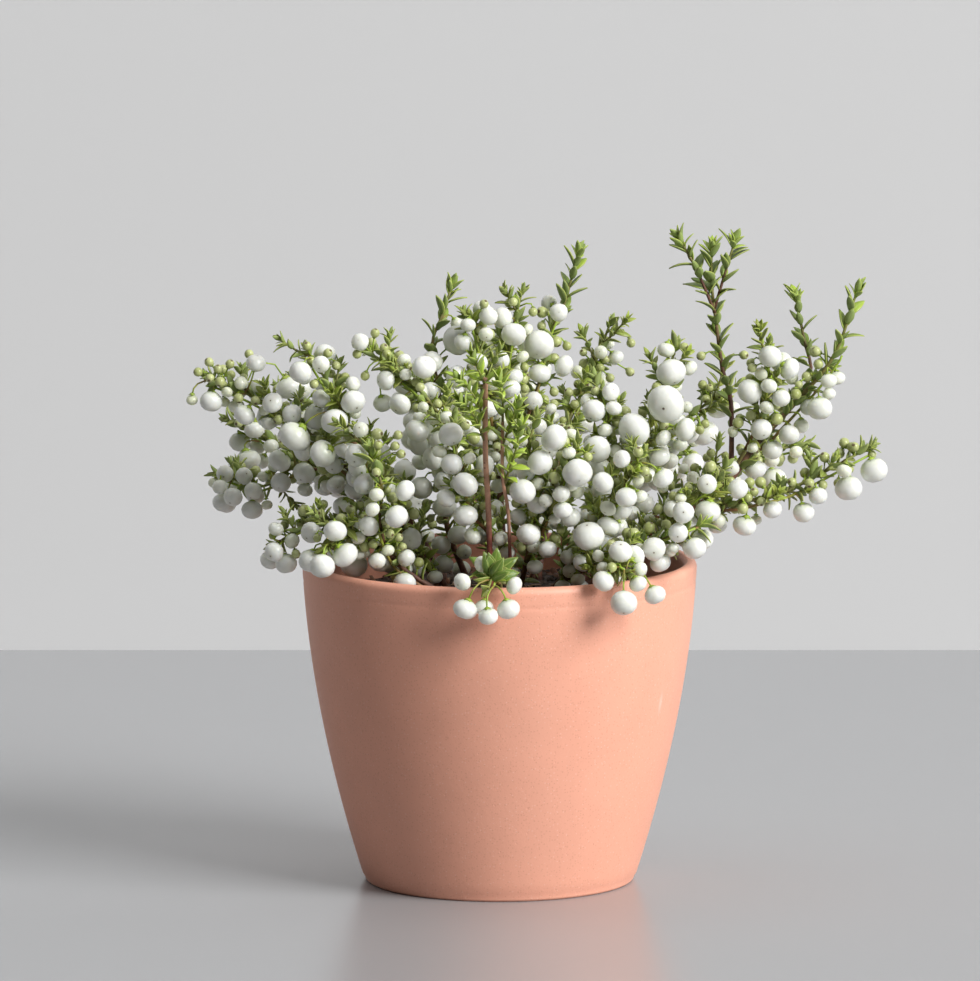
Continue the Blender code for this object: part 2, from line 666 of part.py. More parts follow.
def build_soil(collection, cutters, roots):
    """The soil, which fills the pot below its rim, with a plain hole round each stem."""
    heights = (SOIL_TOP - 1.5 * MM, INNER_HEIGHTS[1], INNER_HEIGHTS[0])
    bottom = FLOOR_THICKNESS + SOIL_GAP
    profile = [(0, SOIL_TOP + SOIL_DOME), (50 * MM, SOIL_TOP + 0.3 * SOIL_DOME)]
    profile += [(facet_radius(height) - 2 * SOIL_GAP, height) for height in heights]
    profile += [(inner_radius(FLOOR_THICKNESS) - 6 * MM, bottom), (0, bottom)]
    soil = turned_object("potting_soil", profile, SOIL_STEPS, collection, "potting_soil")
    bm = bmesh.new()
    for (x, y), thick in roots:
        place = Matrix.Translation((x * MM, y * MM, SOIL_TOP + SOIL_DOME))
        radius = thick * MM + HOLE_GAP * 1.4
        bmesh.ops.create_cone(bm, cap_ends=True, segments=6, radius1=radius, radius2=radius,
                              depth=2 * HOLE_DEPTH, matrix=place)
    holes = mesh_object("stem_holes", bm, cutters)
    holes.hide_render = True
    holes.display_type = "WIRE"
    cut = soil.modifiers.new("holes", "BOOLEAN")
    cut.operation = "DIFFERENCE"
    cut.object = holes


def facing(direction, origin):
    """A matrix that puts local Z along a direction at an origin."""
    return Matrix.Translation(origin) @ direction.to_track_quat("Z", "Y").to_matrix().to_4x4()


def add_ball(bm, berry):
    """A berry: a ball pressed flat along its stalk. A stalk meets the middle of one of its faces."""
    place = facing((berry.centre - berry.anchor).normalized(), berry.centre)
    squash = Matrix.Diagonal((1, 1, BERRY_SQUASH, 1))
    sides = next(sides for size, sides in BERRY_SIDES if berry.radius > size)
    tilt = Matrix.Identity(4)
    if berry.stalked:
        face = Vector((math.cos(math.pi / sides), math.sin(math.pi / sides), math.tan(math.radians(22.5))))
        tilt = face.rotation_difference(Vector((0, 0, -1))).to_matrix().to_4x4()
    bmesh.ops.create_uvsphere(bm, u_segments=sides, v_segments=4, radius=berry.radius,
                              matrix=place @ squash @ tilt)


def add_stalk(bm, anchor, centre, radius):
    """A three-sided stalk from the middle of its stem into its berry."""
    reach = centre - anchor
    length = reach.length - radius * 0.45
    place = facing(reach.normalized(), anchor + reach.normalized() * length / 2)
    bmesh.ops.create_cone(bm, cap_ends=True, segments=3, radius1=STALK_RADIUS, radius2=STALK_RADIUS,
                          depth=length, matrix=place)


def add_leaf(bm, leaf):
    """A leaf: a pointed blade, broadest below its middle, flat above with its midrib as a keel below."""
    made = bmesh.ops.create_uvsphere(bm, u_segments=3, v_segments=2, radius=1.0)["verts"]
    side = leaf.along.cross(leaf.up).normalized() / math.sqrt(0.75)
    for vert in made:
        share = LEAF_BROADEST if abs(vert.co.z) < 0.5 else max(0, vert.co.z)
        vert.co = (
            leaf.root
            + leaf.along * leaf.length * share
            + side * leaf.length * LEAF_SHAPE / 2 * vert.co.y
            - leaf.up * LEAF_THICKNESS / 1.5 * vert.co.x
        )


def in_one_piece(bm):
    """Whether every vertex can be reached from the first along edges."""
    bm.verts.ensure_lookup_table()
    reached = {bm.verts[0]}
    ahead = [bm.verts[0]]
    while ahead:
        vert = ahead.pop()
        for other in (edge.other_vert(vert) for edge in vert.link_edges):
            if other not in reached:
                reached.add(other)
                ahead.append(other)
    return len(reached) == len(bm.verts)


def whole_mesh(obj):
    """The object's evaluated mesh, or None if it isn't one closed body."""
    graph = bpy.context.evaluated_depsgraph_get()
    mesh = bpy.data.meshes.new_from_object(obj.evaluated_get(graph))
    bm = bmesh.new()
    bm.from_mesh(mesh)
    whole = all(part.is_manifold for part in [*bm.edges, *bm.verts]) and in_one_piece(bm)
    bm.free()
    if whole:
        return mesh
    bpy.data.meshes.remove(mesh)
    return None


def join(obj, pieces, shares):
    """Unites an object with a collection of pieces sunk into it, thins out the small faces along the
    joins as far as the mesh stays one closed body, and removes the pieces."""
    union = obj.modifiers.new("join", "BOOLEAN")
    union.operation = "UNION"
    union.operand_type = "COLLECTION"
    union.collection = pieces
    union.solver = "EXACT"
    thin = obj.modifiers.new("thin", "DECIMATE")
    for share in shares:
        thin.ratio = share
        bpy.context.view_layer.update()
        mesh = whole_mesh(obj)
        if mesh:
            break
    obj.modifiers.clear()
    mesh.name = obj.name
    obj.data = mesh
    for piece in list(pieces.objects):
        bpy.data.objects.remove(piece)


def build_bunch(bunch, collection, pieces):
    """One bunch: the rachis, and its berries on their stalks."""
    tube = tube_object(bunch.node, bunch.rachis, [RACHIS_RADIUS] * len(bunch.rachis), collection)
    balls, stalks = bmesh.new(), bmesh.new()
    for berry in bunch.berries:
        add_ball(balls, berry)
        if berry.stalked:
            add_stalk(stalks, berry.anchor, berry.centre, berry.radius)
    for name, bm in (("balls", balls), ("stalks", stalks)):
        mesh_object(name, bm, pieces)
    join(tube, pieces, KEPT_IN_BUNCHES)
    tube.data.materials.clear()
    tube.data.materials.append(material("berry"))


def build_stem(node, plant, collection, pieces, look):
    """One leafy stem: its branches, leaves and unripe berries."""
    tubes = [tube for tube in plant.tubes if tube.node == node]
    stem = tube_object(node, tubes[0].points, tubes[0].radii, collection, 4 if node in STEMS else 6)
    for i, tube in enumerate(tubes[1:]):
        tube_object(f"side_{i}", tube.points, tube.radii, pieces)
    leaves, stalks, balls = bmesh.new(), bmesh.new(), bmesh.new()
    for leaf in (leaf for leaf in plant.leaves if leaf.node == node):
        add_leaf(leaves, leaf)
    for green in (green for green in plant.greens if green.node == node):
        add_stalk(stalks, green.anchor, green.centre, GREEN_RADIUS)
        bmesh.ops.create_icosphere(balls, subdivisions=1, radius=GREEN_RADIUS,
                                   matrix=Matrix.Translation(green.centre))
    for name, bm in (("leaves", leaves), ("stalks", stalks), ("greens", balls)):
        if bm.verts:
            mesh_object(name, bm, pieces)
        else:
            bm.free()
    if pieces.objects:
        join(stem, pieces, KEPT_IN_STEMS)
    stem.data.materials.clear()
    stem.data.materials.append(material(look))


def main():
    for obj in list(bpy.data.objects):
        bpy.data.objects.remove(obj)
    collections = {}
    for name in ("potted_prickly_heath", "cutters", "pieces"):
        collections[name] = bpy.data.collections.new(name)
        bpy.context.scene.collection.children.link(collections[name])
    whole = collections["potted_prickly_heath"]
    plant = grow_plant()
    roots = [(branches[0].start, branches[0].thick) for branches in STEMS.values()]
    roots += [(root, thick) for root, _, thick in BARE_STALKS.values()]
    build_pot(whole)
    build_soil(whole, collections["cutters"], roots)
    for node in STEMS:
        build_stem(node, plant, whole, collections["pieces"], "foliage")
    for node in BARE_STALKS:
        build_stem(node, plant, whole, collections["pieces"], "bare_stalk")
    for bunch in plant.bunches:
        build_bunch(bunch, whole, collections["pieces"])
    bpy.data.collections.remove(collections["pieces"])


if __name__ == "__main__":
    main()
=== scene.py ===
"""Potted prickly heath: the finished look of the pot, the soil, the twigs, the leaves and the berries.

Run it with: blender --background --python scene.py
Metres, +Z up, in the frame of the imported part, and the side that is looked at faces -Y.
The growth rule is the part's own, so every stem, leaf and berry of its solids keeps its place here. More
leaves and berries then grow where the solids leave them out.
"""

import json
import math
import random
from collections import namedtuple
from functools import lru_cache

import bmesh
import bpy
import numpy as np
from bpy.props import FloatProperty, FloatVectorProperty, IntProperty, PointerProperty
from mathutils import Matrix, Vector, noise

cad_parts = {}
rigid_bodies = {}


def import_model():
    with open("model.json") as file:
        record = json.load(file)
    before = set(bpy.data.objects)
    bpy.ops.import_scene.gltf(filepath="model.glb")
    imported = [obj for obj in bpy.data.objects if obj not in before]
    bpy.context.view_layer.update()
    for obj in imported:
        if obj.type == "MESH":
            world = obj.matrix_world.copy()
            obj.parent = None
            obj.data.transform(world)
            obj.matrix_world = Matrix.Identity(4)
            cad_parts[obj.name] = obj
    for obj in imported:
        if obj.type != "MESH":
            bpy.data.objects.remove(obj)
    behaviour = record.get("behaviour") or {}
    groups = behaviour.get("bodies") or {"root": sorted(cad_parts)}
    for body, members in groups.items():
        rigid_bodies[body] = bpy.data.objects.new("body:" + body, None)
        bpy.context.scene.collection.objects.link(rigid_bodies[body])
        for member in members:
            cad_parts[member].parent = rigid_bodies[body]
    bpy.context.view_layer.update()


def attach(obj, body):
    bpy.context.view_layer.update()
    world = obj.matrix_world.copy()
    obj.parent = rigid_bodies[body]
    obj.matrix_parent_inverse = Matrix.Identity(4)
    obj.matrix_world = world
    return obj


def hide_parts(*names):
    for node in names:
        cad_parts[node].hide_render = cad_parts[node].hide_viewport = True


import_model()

bl_info = {
    "name": "Potted Prickly Heath",
    "version": (1, 0, 0),
    "blender": (4, 5, 0),
    "location": "3D Viewport > Sidebar > Heath",
    "description": "Models and finishes a white-berried prickly heath in a terracotta pot",
    "category": "Add Mesh",
}

MM = 0.001

# The pot
POT_HEIGHT = 114.8 * MM
RIM_RADIUS = 70.0 * MM
FOOT_RADIUS = 48.0 * MM
BELLY_RADIUS = 67.2 * MM
BELLY_HEIGHT = 60.0 * MM
FOOT_ROUND = 1.5 * MM
RIM_ROUND = 2.4 * MM
RIM_WALL = 4.8 * MM
FOOT_WALL = 6.0 * MM
FLOOR_THICKNESS = 7.0 * MM
BAND_HEIGHT = 107.6 * MM
BAND_DEPTH = 0.13 * MM

# The soil
SOIL_TOP = 102.5 * MM
SOIL_DOME = 2.0 * MM
SOIL_RIPPLE = 1.1 * MM
HOLE_DEPTH = 14.0 * MM
HOLE_GAP = 0.4 * MM
SOIL_GAP = 0.3 * MM
ROOT_RADII = (0.32 * MM, 0.15 * MM)

# Stems, in which a rachis is the slim stalk beside a stem that its berries hang from. Radii are those at
# the start and at the end.
NODE_GAP = 0.35 * MM
OWN_GAP = 0.1 * MM
TUBE_STEP = 13.0 * MM
FINE_STEP = 3.0 * MM
RACHIS_RADIUS = 0.6 * MM
STALK_RADIUS = 0.4 * MM
TIP_RADIUS = 0.5 * MM
TWIG_TIP = 0.42 * MM
BARE_TAPER = 0.85
RACHIS_RADII = (0.6 * MM, 0.42 * MM)
BERRY_STALK_RADII = (0.34 * MM, 0.3 * MM)
GREEN_STALK_RADII = (0.32 * MM, 0.28 * MM)

# Leaves. A blade's thickness is to its length, and its shapes are (arch, fold, twist).
LEAF_LENGTH = (5.2 * MM, 7.6 * MM)
LEAF_SHAPE = 0.38
LEAF_RISE = (38.0, 62.0)
LEAF_TURN = 137.5
BLADE_SHAPE = 0.40
MORE_LEAF_LENGTH = (5.0 * MM, 7.6 * MM)
LEAF_SPACING = 2.6 * MM
SHOOT_LEAF_LENGTH = (6.6 * MM, 9.0 * MM)
SHOOT_LEAF_SPACING = 3.0 * MM
RIM_LEAF_LENGTH = (8.0 * MM, 10.5 * MM)
RIM_LEAVES = 9
TUFT_LEAF_LENGTH = (2.8 * MM, 4.8 * MM)
TUFT_LEAVES = 7
SHOOT_TUFT_LENGTH = (4.4 * MM, 6.4 * MM)
LIME_LEAF_LENGTH = (5.0 * MM, 7.0 * MM)
BLADE_THICKNESS = 0.055
BLADES = ((0.10, 0.35, 0.0), (0.22, 0.25, 0.35), (0.02, 0.5, -0.3), (0.32, 0.3, 0.1), (-0.12, 0.4, 0.2))

# Sprigs, the short leafy side shoots of the branches that berries hang on, over a zone of each branch that
# starts at SPRIG_FROM and is SPRIG_ZONE long
SPRIG_FROM = 0.28
SPRIG_ZONE = 0.68
SPRIG_SPACING = 7.0 * MM
SPRIG_LENGTH = (6.0 * MM, 14.0 * MM)
SPRIG_LEAF_LENGTH = (4.2 * MM, 6.6 * MM)
SPRIG_LEAF_SPACING = 1.4 * MM
SPRIG_STEP = 2.5 * MM
SPRIG_RADII = (0.5 * MM, 0.32 * MM)
LIME_RADII = (0.5 * MM, 0.3 * MM)

# Berries. Their shapes are (lobes, depth of the lobes, squash).
BERRY_RADIUS = (3.3 * MM, 4.5 * MM)
SMALL_BERRY_RADIUS = (2.0 * MM, 3.3 * MM)
BERRY_SQUASH = 0.88
BERRY_SPACING = 4.4 * MM
AIRY_SPACING = 12.0 * MM
GREEN_SPACING = 3.6 * MM
GREEN_RADIUS = 1.7 * MM
BERRY_SINK = 0.1 * MM
GREEN_STALK = (3.0 * MM, 5.0 * MM)
LONGEST_STALK = 15.0 * MM
FULL_SHARE = 0.42
FREE_STALK = (1.2 * MM, 5.5 * MM)
BERRY_OVERLAP = 0.25 * MM
STEM_OVERLAP = 0.6 * MM
LEAF_OVERLAP = 0.1 * MM
BERRIES = ((4, 0.0, 0.92), (4, 0.03, 0.86), (3, 0.03, 0.9), (2, 0.04, 0.82), (4, 0.0, 0.84))

# The part of the bush round its middle, over the soil, that stays open
OPEN_RADIUS = 40.0 * MM
OPEN_HEIGHT = 146.0 * MM

# In front of BACK_FROM, berries hang away from a point FRONT_MIDDLE behind the pot's axis
BACK_FROM = 15.0 * MM
FRONT_MIDDLE = 45.0 * MM

SEED = 7
TRIES = 40
LOOSE_TRIES = 14
STEM, RACHIS, BERRY, STALK, LEAF, GREEN = range(6)

# The photo's frame, and the camera that sees it
IMAGE_SIZE = (980, 981)
PIXEL = 0.3544 * MM
EYE_DISTANCE = 3.3
EYE_TILT = math.radians(8.05)
AIM = Vector((-3.4 * MM, 0, 139.4 * MM))
LOOK = Vector((0, math.cos(EYE_TILT), -math.sin(EYE_TILT)))
LOOK_UP = Vector((0, math.sin(EYE_TILT), math.cos(EYE_TILT)))
EYE = AIM - LOOK * EYE_DISTANCE
SENSOR_WIDTH = 36.0

# The table, the wall behind it and the lights
TABLE_FRONT = 3.6
TABLE_SIDE = 3.0
TABLE_ROUGHNESS = 0.27
WALL_AWAY = 0.517
WALL_HEIGHT = 2.6
WALL_ROUGHNESS = 0.9
KEY_PLACE = (7.0, -5.1, 5.2)
TOP_PLACE = (-0.3, 0.0, 2.1)

Branch = namedtuple(
    "Branch",
    "name parent start knots thick leaves leaf_from greens berries zone marks hang",
    defaults=(1.0, 8, 0.45, 0, 0, (0.35, 0.95), (), None),
)

# Each stem is a main branch and its side branches. A main branch starts at its place in the soil (x, y),
# and a side branch at a share of its parent's length. Knots are (x, y, z), marks are large berries as
# (x, y, z, diameter), and thick is the radius at the start: all in millimetres. Berries hang on the side
# that hang points to, or else out of the bush and down.
STEMS = {
    "left_high": (
        Branch("left_high", None, (-22, -4),
               ((-37, -8, 130), (-60, -10, 155), (-84, -6, 172), (-104, 0, 180)),
               1.4, 6, 0.5, 3, 3, (0.5, 0.97),
               ((-75, 8, 175, 9.2), (-90, -12, 168, 7.8), (-102, -6, 172, 8.2), (-80, -17, 173, 7.4))),
        Branch("left_sprig", "left_high", 0.34, ((-50, -18, 158), (-58, -20, 176), (-68, -16, 192)),
               0.9, 6, 0.4, 2, 2, (0.3, 0.9),
               ((-72, -25, 162, 11.7), (-58, -29, 168, 9.9), (-64, -9, 167, 10.6))),
        Branch("left_shade", "left_high", 0.4, ((-68, 8, 148), (-84, 14, 139), (-100, 18, 143)),
               0.8, 4, 0.4, 0, 3, (0.45, 0.97),
               ((-98, 13, 133, 8.5), (-88, 10, 131, 7.8), (-95, 25, 137, 6.4))),
    ),
    "left_front": (
        Branch("left_front", None, (-28, -18),
               ((-44, -30, 128), (-58, -34, 134), (-70, -31, 130), (-79, -26, 124)),
               1.1, 6, 0.45, 2, 2, (0.55, 0.98),
               ((-75, -32, 118, 7.8), (-81, -24, 118, 7.1))),
        Branch("left_rim", "left_front", 0.45, ((-54, -43, 131), (-60, -50, 126)),
               0.8, 3, 0.4, 0, 0, (0.3, 0.95),
               ((-54, -52, 124, 9.6), (-66, -46, 121, 9.2))),
    ),
    "left_mid": (
        Branch("left_mid", None, (-19, -13), ((-34, -24, 130), (-44, -34, 148), (-50, -36, 166)),
               1.1, 5, 0.5, 1, 3, (0.4, 0.95),
               ((-62, -32, 157, 9.9), (-50, -44, 158, 8.5), (-47, -44, 148, 8.5))),
    ),
    "front_left_twig": (
        Branch("front_left_twig", None, (-20, -32),
               ((-37, -38, 120), (-42, -46, 135), (-41, -50, 147), (-45, -48, 160)),
               1.0, 6, 0.5, 4, 2, (0.3, 0.85),
               ((-36, -55, 138, 8.5), (-33, -54, 147, 7.8))),
    ),
    "arching_left": (
        Branch("arching_left", None, (-11, -6),
               ((-19, -12, 131), (-17, -20, 157), (-26, -24, 176), (-47, -18, 192)),
               1.2, 6, 0.5, 4, 3, (0.42, 0.85),
               ((-35, -28, 174, 8.2), (-29, -32, 165, 8.5), (-40, -25, 182, 7.1))),
        Branch("upright_left", "arching_left", 0.42,
               ((-21, -2, 172), (-24, 4, 190), (-20, 7, 202), (-17, 9, 211)),
               0.9, 12, 0.45, 0, 1, (0.25, 0.6),
               ((-15, 0, 193, 11.0), (-15, -8, 181, 8.5))),
    ),
    "centre": (
        Branch("centre", None, (2, 7), ((0, 5, 146), (2, 7, 171), (4, 10, 192), (8, 13, 209)),
               1.4, 6, 0.6, 1, 2, (0.55, 0.9),
               ((5, 1, 195, 9.2), (0, 1, 186, 7.4))),
        Branch("centre_left", "centre", 0.45, ((-4, -4, 174), (-7, -6, 190), (-10, -8, 202)),
               0.8, 4, 0.4, 2, 2, (0.35, 0.95),
               ((-4, -10, 203, 7.1),)),
        Branch("upright_centre", "centre", 0.42,
               ((13, 17, 172), (18, 22, 192), (23, 24, 203), (28, 27, 221)),
               0.9, 12, 0.5, 1, 2, (0.35, 0.72),
               ((14, 12, 190, 11.0), (21, 16, 201, 6.6)), (0, -1, -0.2)),
    ),
    "centre_front": (
        Branch("centre_front", None, (7, -26), ((11, -35, 128), (13, -46, 150), (8, -50, 166)),
               1.1, 4, 0.5, 1, 1, (0.5, 0.95),
               ((8, -56, 147, 9.4), (14, -55, 157, 9.2), (10, -50, 131, 8.5))),
        Branch("centre_front_right", "centre_front", 0.35, ((20, -50, 145), (27, -51, 163)),
               0.8, 4, 0.4, 1, 2, (0.35, 0.95),
               ((19, -57, 166, 9.9), (27, -59, 154, 10.6), (22, -54, 140, 7.1))),
        Branch("centre_front_left", "centre_front", 0.25,
               ((-10, -43, 140), (-15, -44, 158), (-16, -38, 170)),
               0.8, 5, 0.4, 2, 3, (0.45, 0.95),
               ((-12, -53, 149, 9.2),)),
    ),
    "front_rim": (
        Branch("front_rim", None, (1, -51), ((0, -58, 115), (-2, -68, 120), (-4, -78, 116)),
               0.9, 9, 0.62, 1, 1, (0.66, 0.98),
               ((-12, -79, 109, 8.5), (-4, -82, 107, 7.1), (3, -79, 109, 8.2), (5, -77, 117, 6.4),
                (-13, -75, 118, 6.4)), (0, -1, -0.3)),
    ),
    "right_rim": (
        Branch("right_rim", None, (17, -30), ((29, -41, 122), (37, -55, 122), (45, -65, 119)),
               1.0, 5, 0.5, 0, 1, (0.5, 0.98),
               ((31, -54, 131, 11.3), (42, -64, 127, 8.5), (36, -67, 117, 7.8), (43, -71, 110, 9.6),
                (54, -66, 112, 7.8)), (0.3, -1, 0.2)),
        Branch("right_brown", "right_rim", 0.3, ((45, -42, 125), (55, -46, 128), (71, -45, 134)),
               0.8, 6, 0.3, 0, 1, (0.5, 0.95),
               ((71, -42, 128, 7.8), (64, -52, 139, 7.8)), (0, -1, -0.2)),
    ),
    "right_mid": (
        Branch("right_mid", None, (22, -9),
               ((36, -20, 135), (48, -29, 158), (55, -31, 173), (62, -23, 194)),
               1.3, 6, 0.5, 1, 1, (0.5, 0.95),
               ((58, -43, 176, 13.5), (47, -42, 167, 12.0), (60, -34, 186, 10.6), (65, -36, 166, 8.5)),
               (0.2, -1, -0.2)),
        Branch("right_inner", "right_mid", 0.4, ((38, -34, 159), (36, -30, 179)),
               0.8, 4, 0.4, 2, 2, (0.3, 0.95),
               ((34, -43, 160, 9.9), (33, -38, 173, 8.5)), (0, -1, -0.2)),
        Branch("right_front", "right_mid", 0.2, ((38, -42, 137), (44, -50, 150), (50, -50, 160)),
               0.9, 4, 0.4, 1, 3, (0.35, 0.95),
               ((36, -55, 150, 7.8), (44, -57, 145, 7.8), (57, -52, 151, 7.8))),
    ),
    "right_woody": (
        Branch("right_woody", None, (30, 1),
               ((53, -3, 124), (78, -4, 140), (90, -2, 155), (104, 0, 170), (118, -4, 188), (126, -6, 211)),
               1.7, 12, 0.62, 1, 1, (0.6, 0.86),
               ((113, -10, 170, 9.2), (116, -11, 180, 5.9))),
        Branch("tall_shoot", "right_woody", 0.5,
               ((82, 4, 170), (79, 5, 182), (77, 5, 196), (75, 5, 213), (75, 5, 225)),
               1.0, 12, 0.4, 0, 0),
        Branch("tall_shoot_left", "tall_shoot", 0.72, ((70, 4, 217), (64, 4, 228)), 0.6, 6, 0.25, 0, 0),
        Branch("tall_shoot_right", "tall_shoot", 0.74, ((80, 6, 217), (83, 6, 227)), 0.6, 5, 0.25, 0, 0),
        Branch("right_shoot", "right_woody", 0.66, ((110, 7, 179), (108, 10, 192), (105, 12, 207)),
               0.8, 8, 0.3, 0, 0),
        Branch("right_high", "right_woody", 0.5, ((93, -12, 170), (95, -14, 193)),
               0.8, 4, 0.4, 3, 1, (0.35, 0.95),
               ((95, -21, 190, 8.5), (102, -16, 185, 7.8), (88, -17, 177, 9.2), (99, -20, 175, 6.7)),
               (0, -1, -0.1)),
    ),
    "right_low": (
        Branch("right_low", None, (29, -16),
               ((57, -22, 123), (79, -24, 137), (100, -22, 142), (131, -14, 157)),
               1.3, 9, 0.5, 2, 1, (0.6, 0.98),
               ((132, -17, 149, 9.9), (123, -20, 143, 9.9), (107, -24, 135, 7.8), (112, -25, 141, 6.7))),
        Branch("right_edge", "right_low", 0.3, ((66, -31, 140), (77, -34, 148)),
               0.8, 4, 0.4, 1, 2, (0.3, 0.95),
               ((86, -29, 131, 8.5), (73, -35, 137, 9.2))),
    ),
    "left_back": (
        Branch("left_back", None, (-32, 3), ((-52, 20, 136), (-76, 32, 150), (-98, 38, 160)),
               1.2, 7, 0.45, 1, 4, (0.45, 0.95),
               ((-90, 30, 146, 9.4), (-70, 36, 140, 8.6))),
    ),
    "back_left": (
        Branch("back_left", None, (-20, 16), ((-40, 36, 136), (-60, 54, 156), (-80, 68, 168)),
               1.3, 7, 0.45, 1, 4, (0.45, 0.95), ((-66, 62, 150, 9.6),)),
        Branch("back_left_low", "back_left", 0.35, ((-52, 62, 138), (-62, 78, 138)),
               0.8, 4, 0.35, 1, 3, (0.3, 0.95), ((-58, 76, 130, 9.0),)),
    ),
    "back": (
        Branch("back", None, (-2, 24), ((-8, 48, 136), (-14, 72, 154), (-18, 92, 160)),
               1.3, 7, 0.45, 1, 4, (0.45, 0.95), ((-14, 84, 149, 10.2),)),
        Branch("back_rise", "back", 0.35, ((-24, 58, 156), (-38, 62, 180)),
               0.9, 5, 0.35, 1, 4, (0.3, 0.95), ((-34, 56, 170, 8.8),)),
    ),
    "back_high": (
        Branch("back_high", None, (14, 22), ((22, 40, 150), (32, 54, 172), (40, 60, 192)),
               1.3, 7, 0.45, 1, 4, (0.4, 0.95), ((34, 62, 170, 10.4),)),
        Branch("back_middle", "back_high", 0.4, ((8, 48, 168), (0, 54, 188)),
               0.9, 5, 0.35, 1, 4, (0.3, 0.95), ((0, 60, 178, 9.0),)),
    ),
    "back_right": (
        Branch("back_right", None, (23, 15), ((42, 34, 136), (64, 50, 156), (86, 60, 170)),
               1.3, 7, 0.45, 1, 4, (0.45, 0.95), ((74, 58, 152, 10.0),)),
        Branch("back_right_low", "back_right", 0.35, ((56, 64, 142), (68, 82, 142)),
               0.8, 4, 0.35, 1, 3, (0.3, 0.95), ((64, 80, 134, 9.2),)),
    ),
    "right_back": (
        Branch("right_back", None, (34, 10), ((60, 20, 132), (86, 28, 146), (110, 34, 152)),
               1.2, 7, 0.45, 1, 4, (0.45, 0.95), ((98, 30, 139, 9.4),)),
    ),
}

# Two bare stalks, cut off at the top and seen against the berries: (x, y) in the soil, knots and radius
BARE_STALKS = {
    "cut_stalk": ((-3, -40), ((-4, -48, 140), (-5, -53, 160), (-5, -56, 187)), 1.1),
    "thin_stalk": ((4, -40), ((3, -50, 138), (1, -57, 152), (1, -59, 172)), 0.7),
}

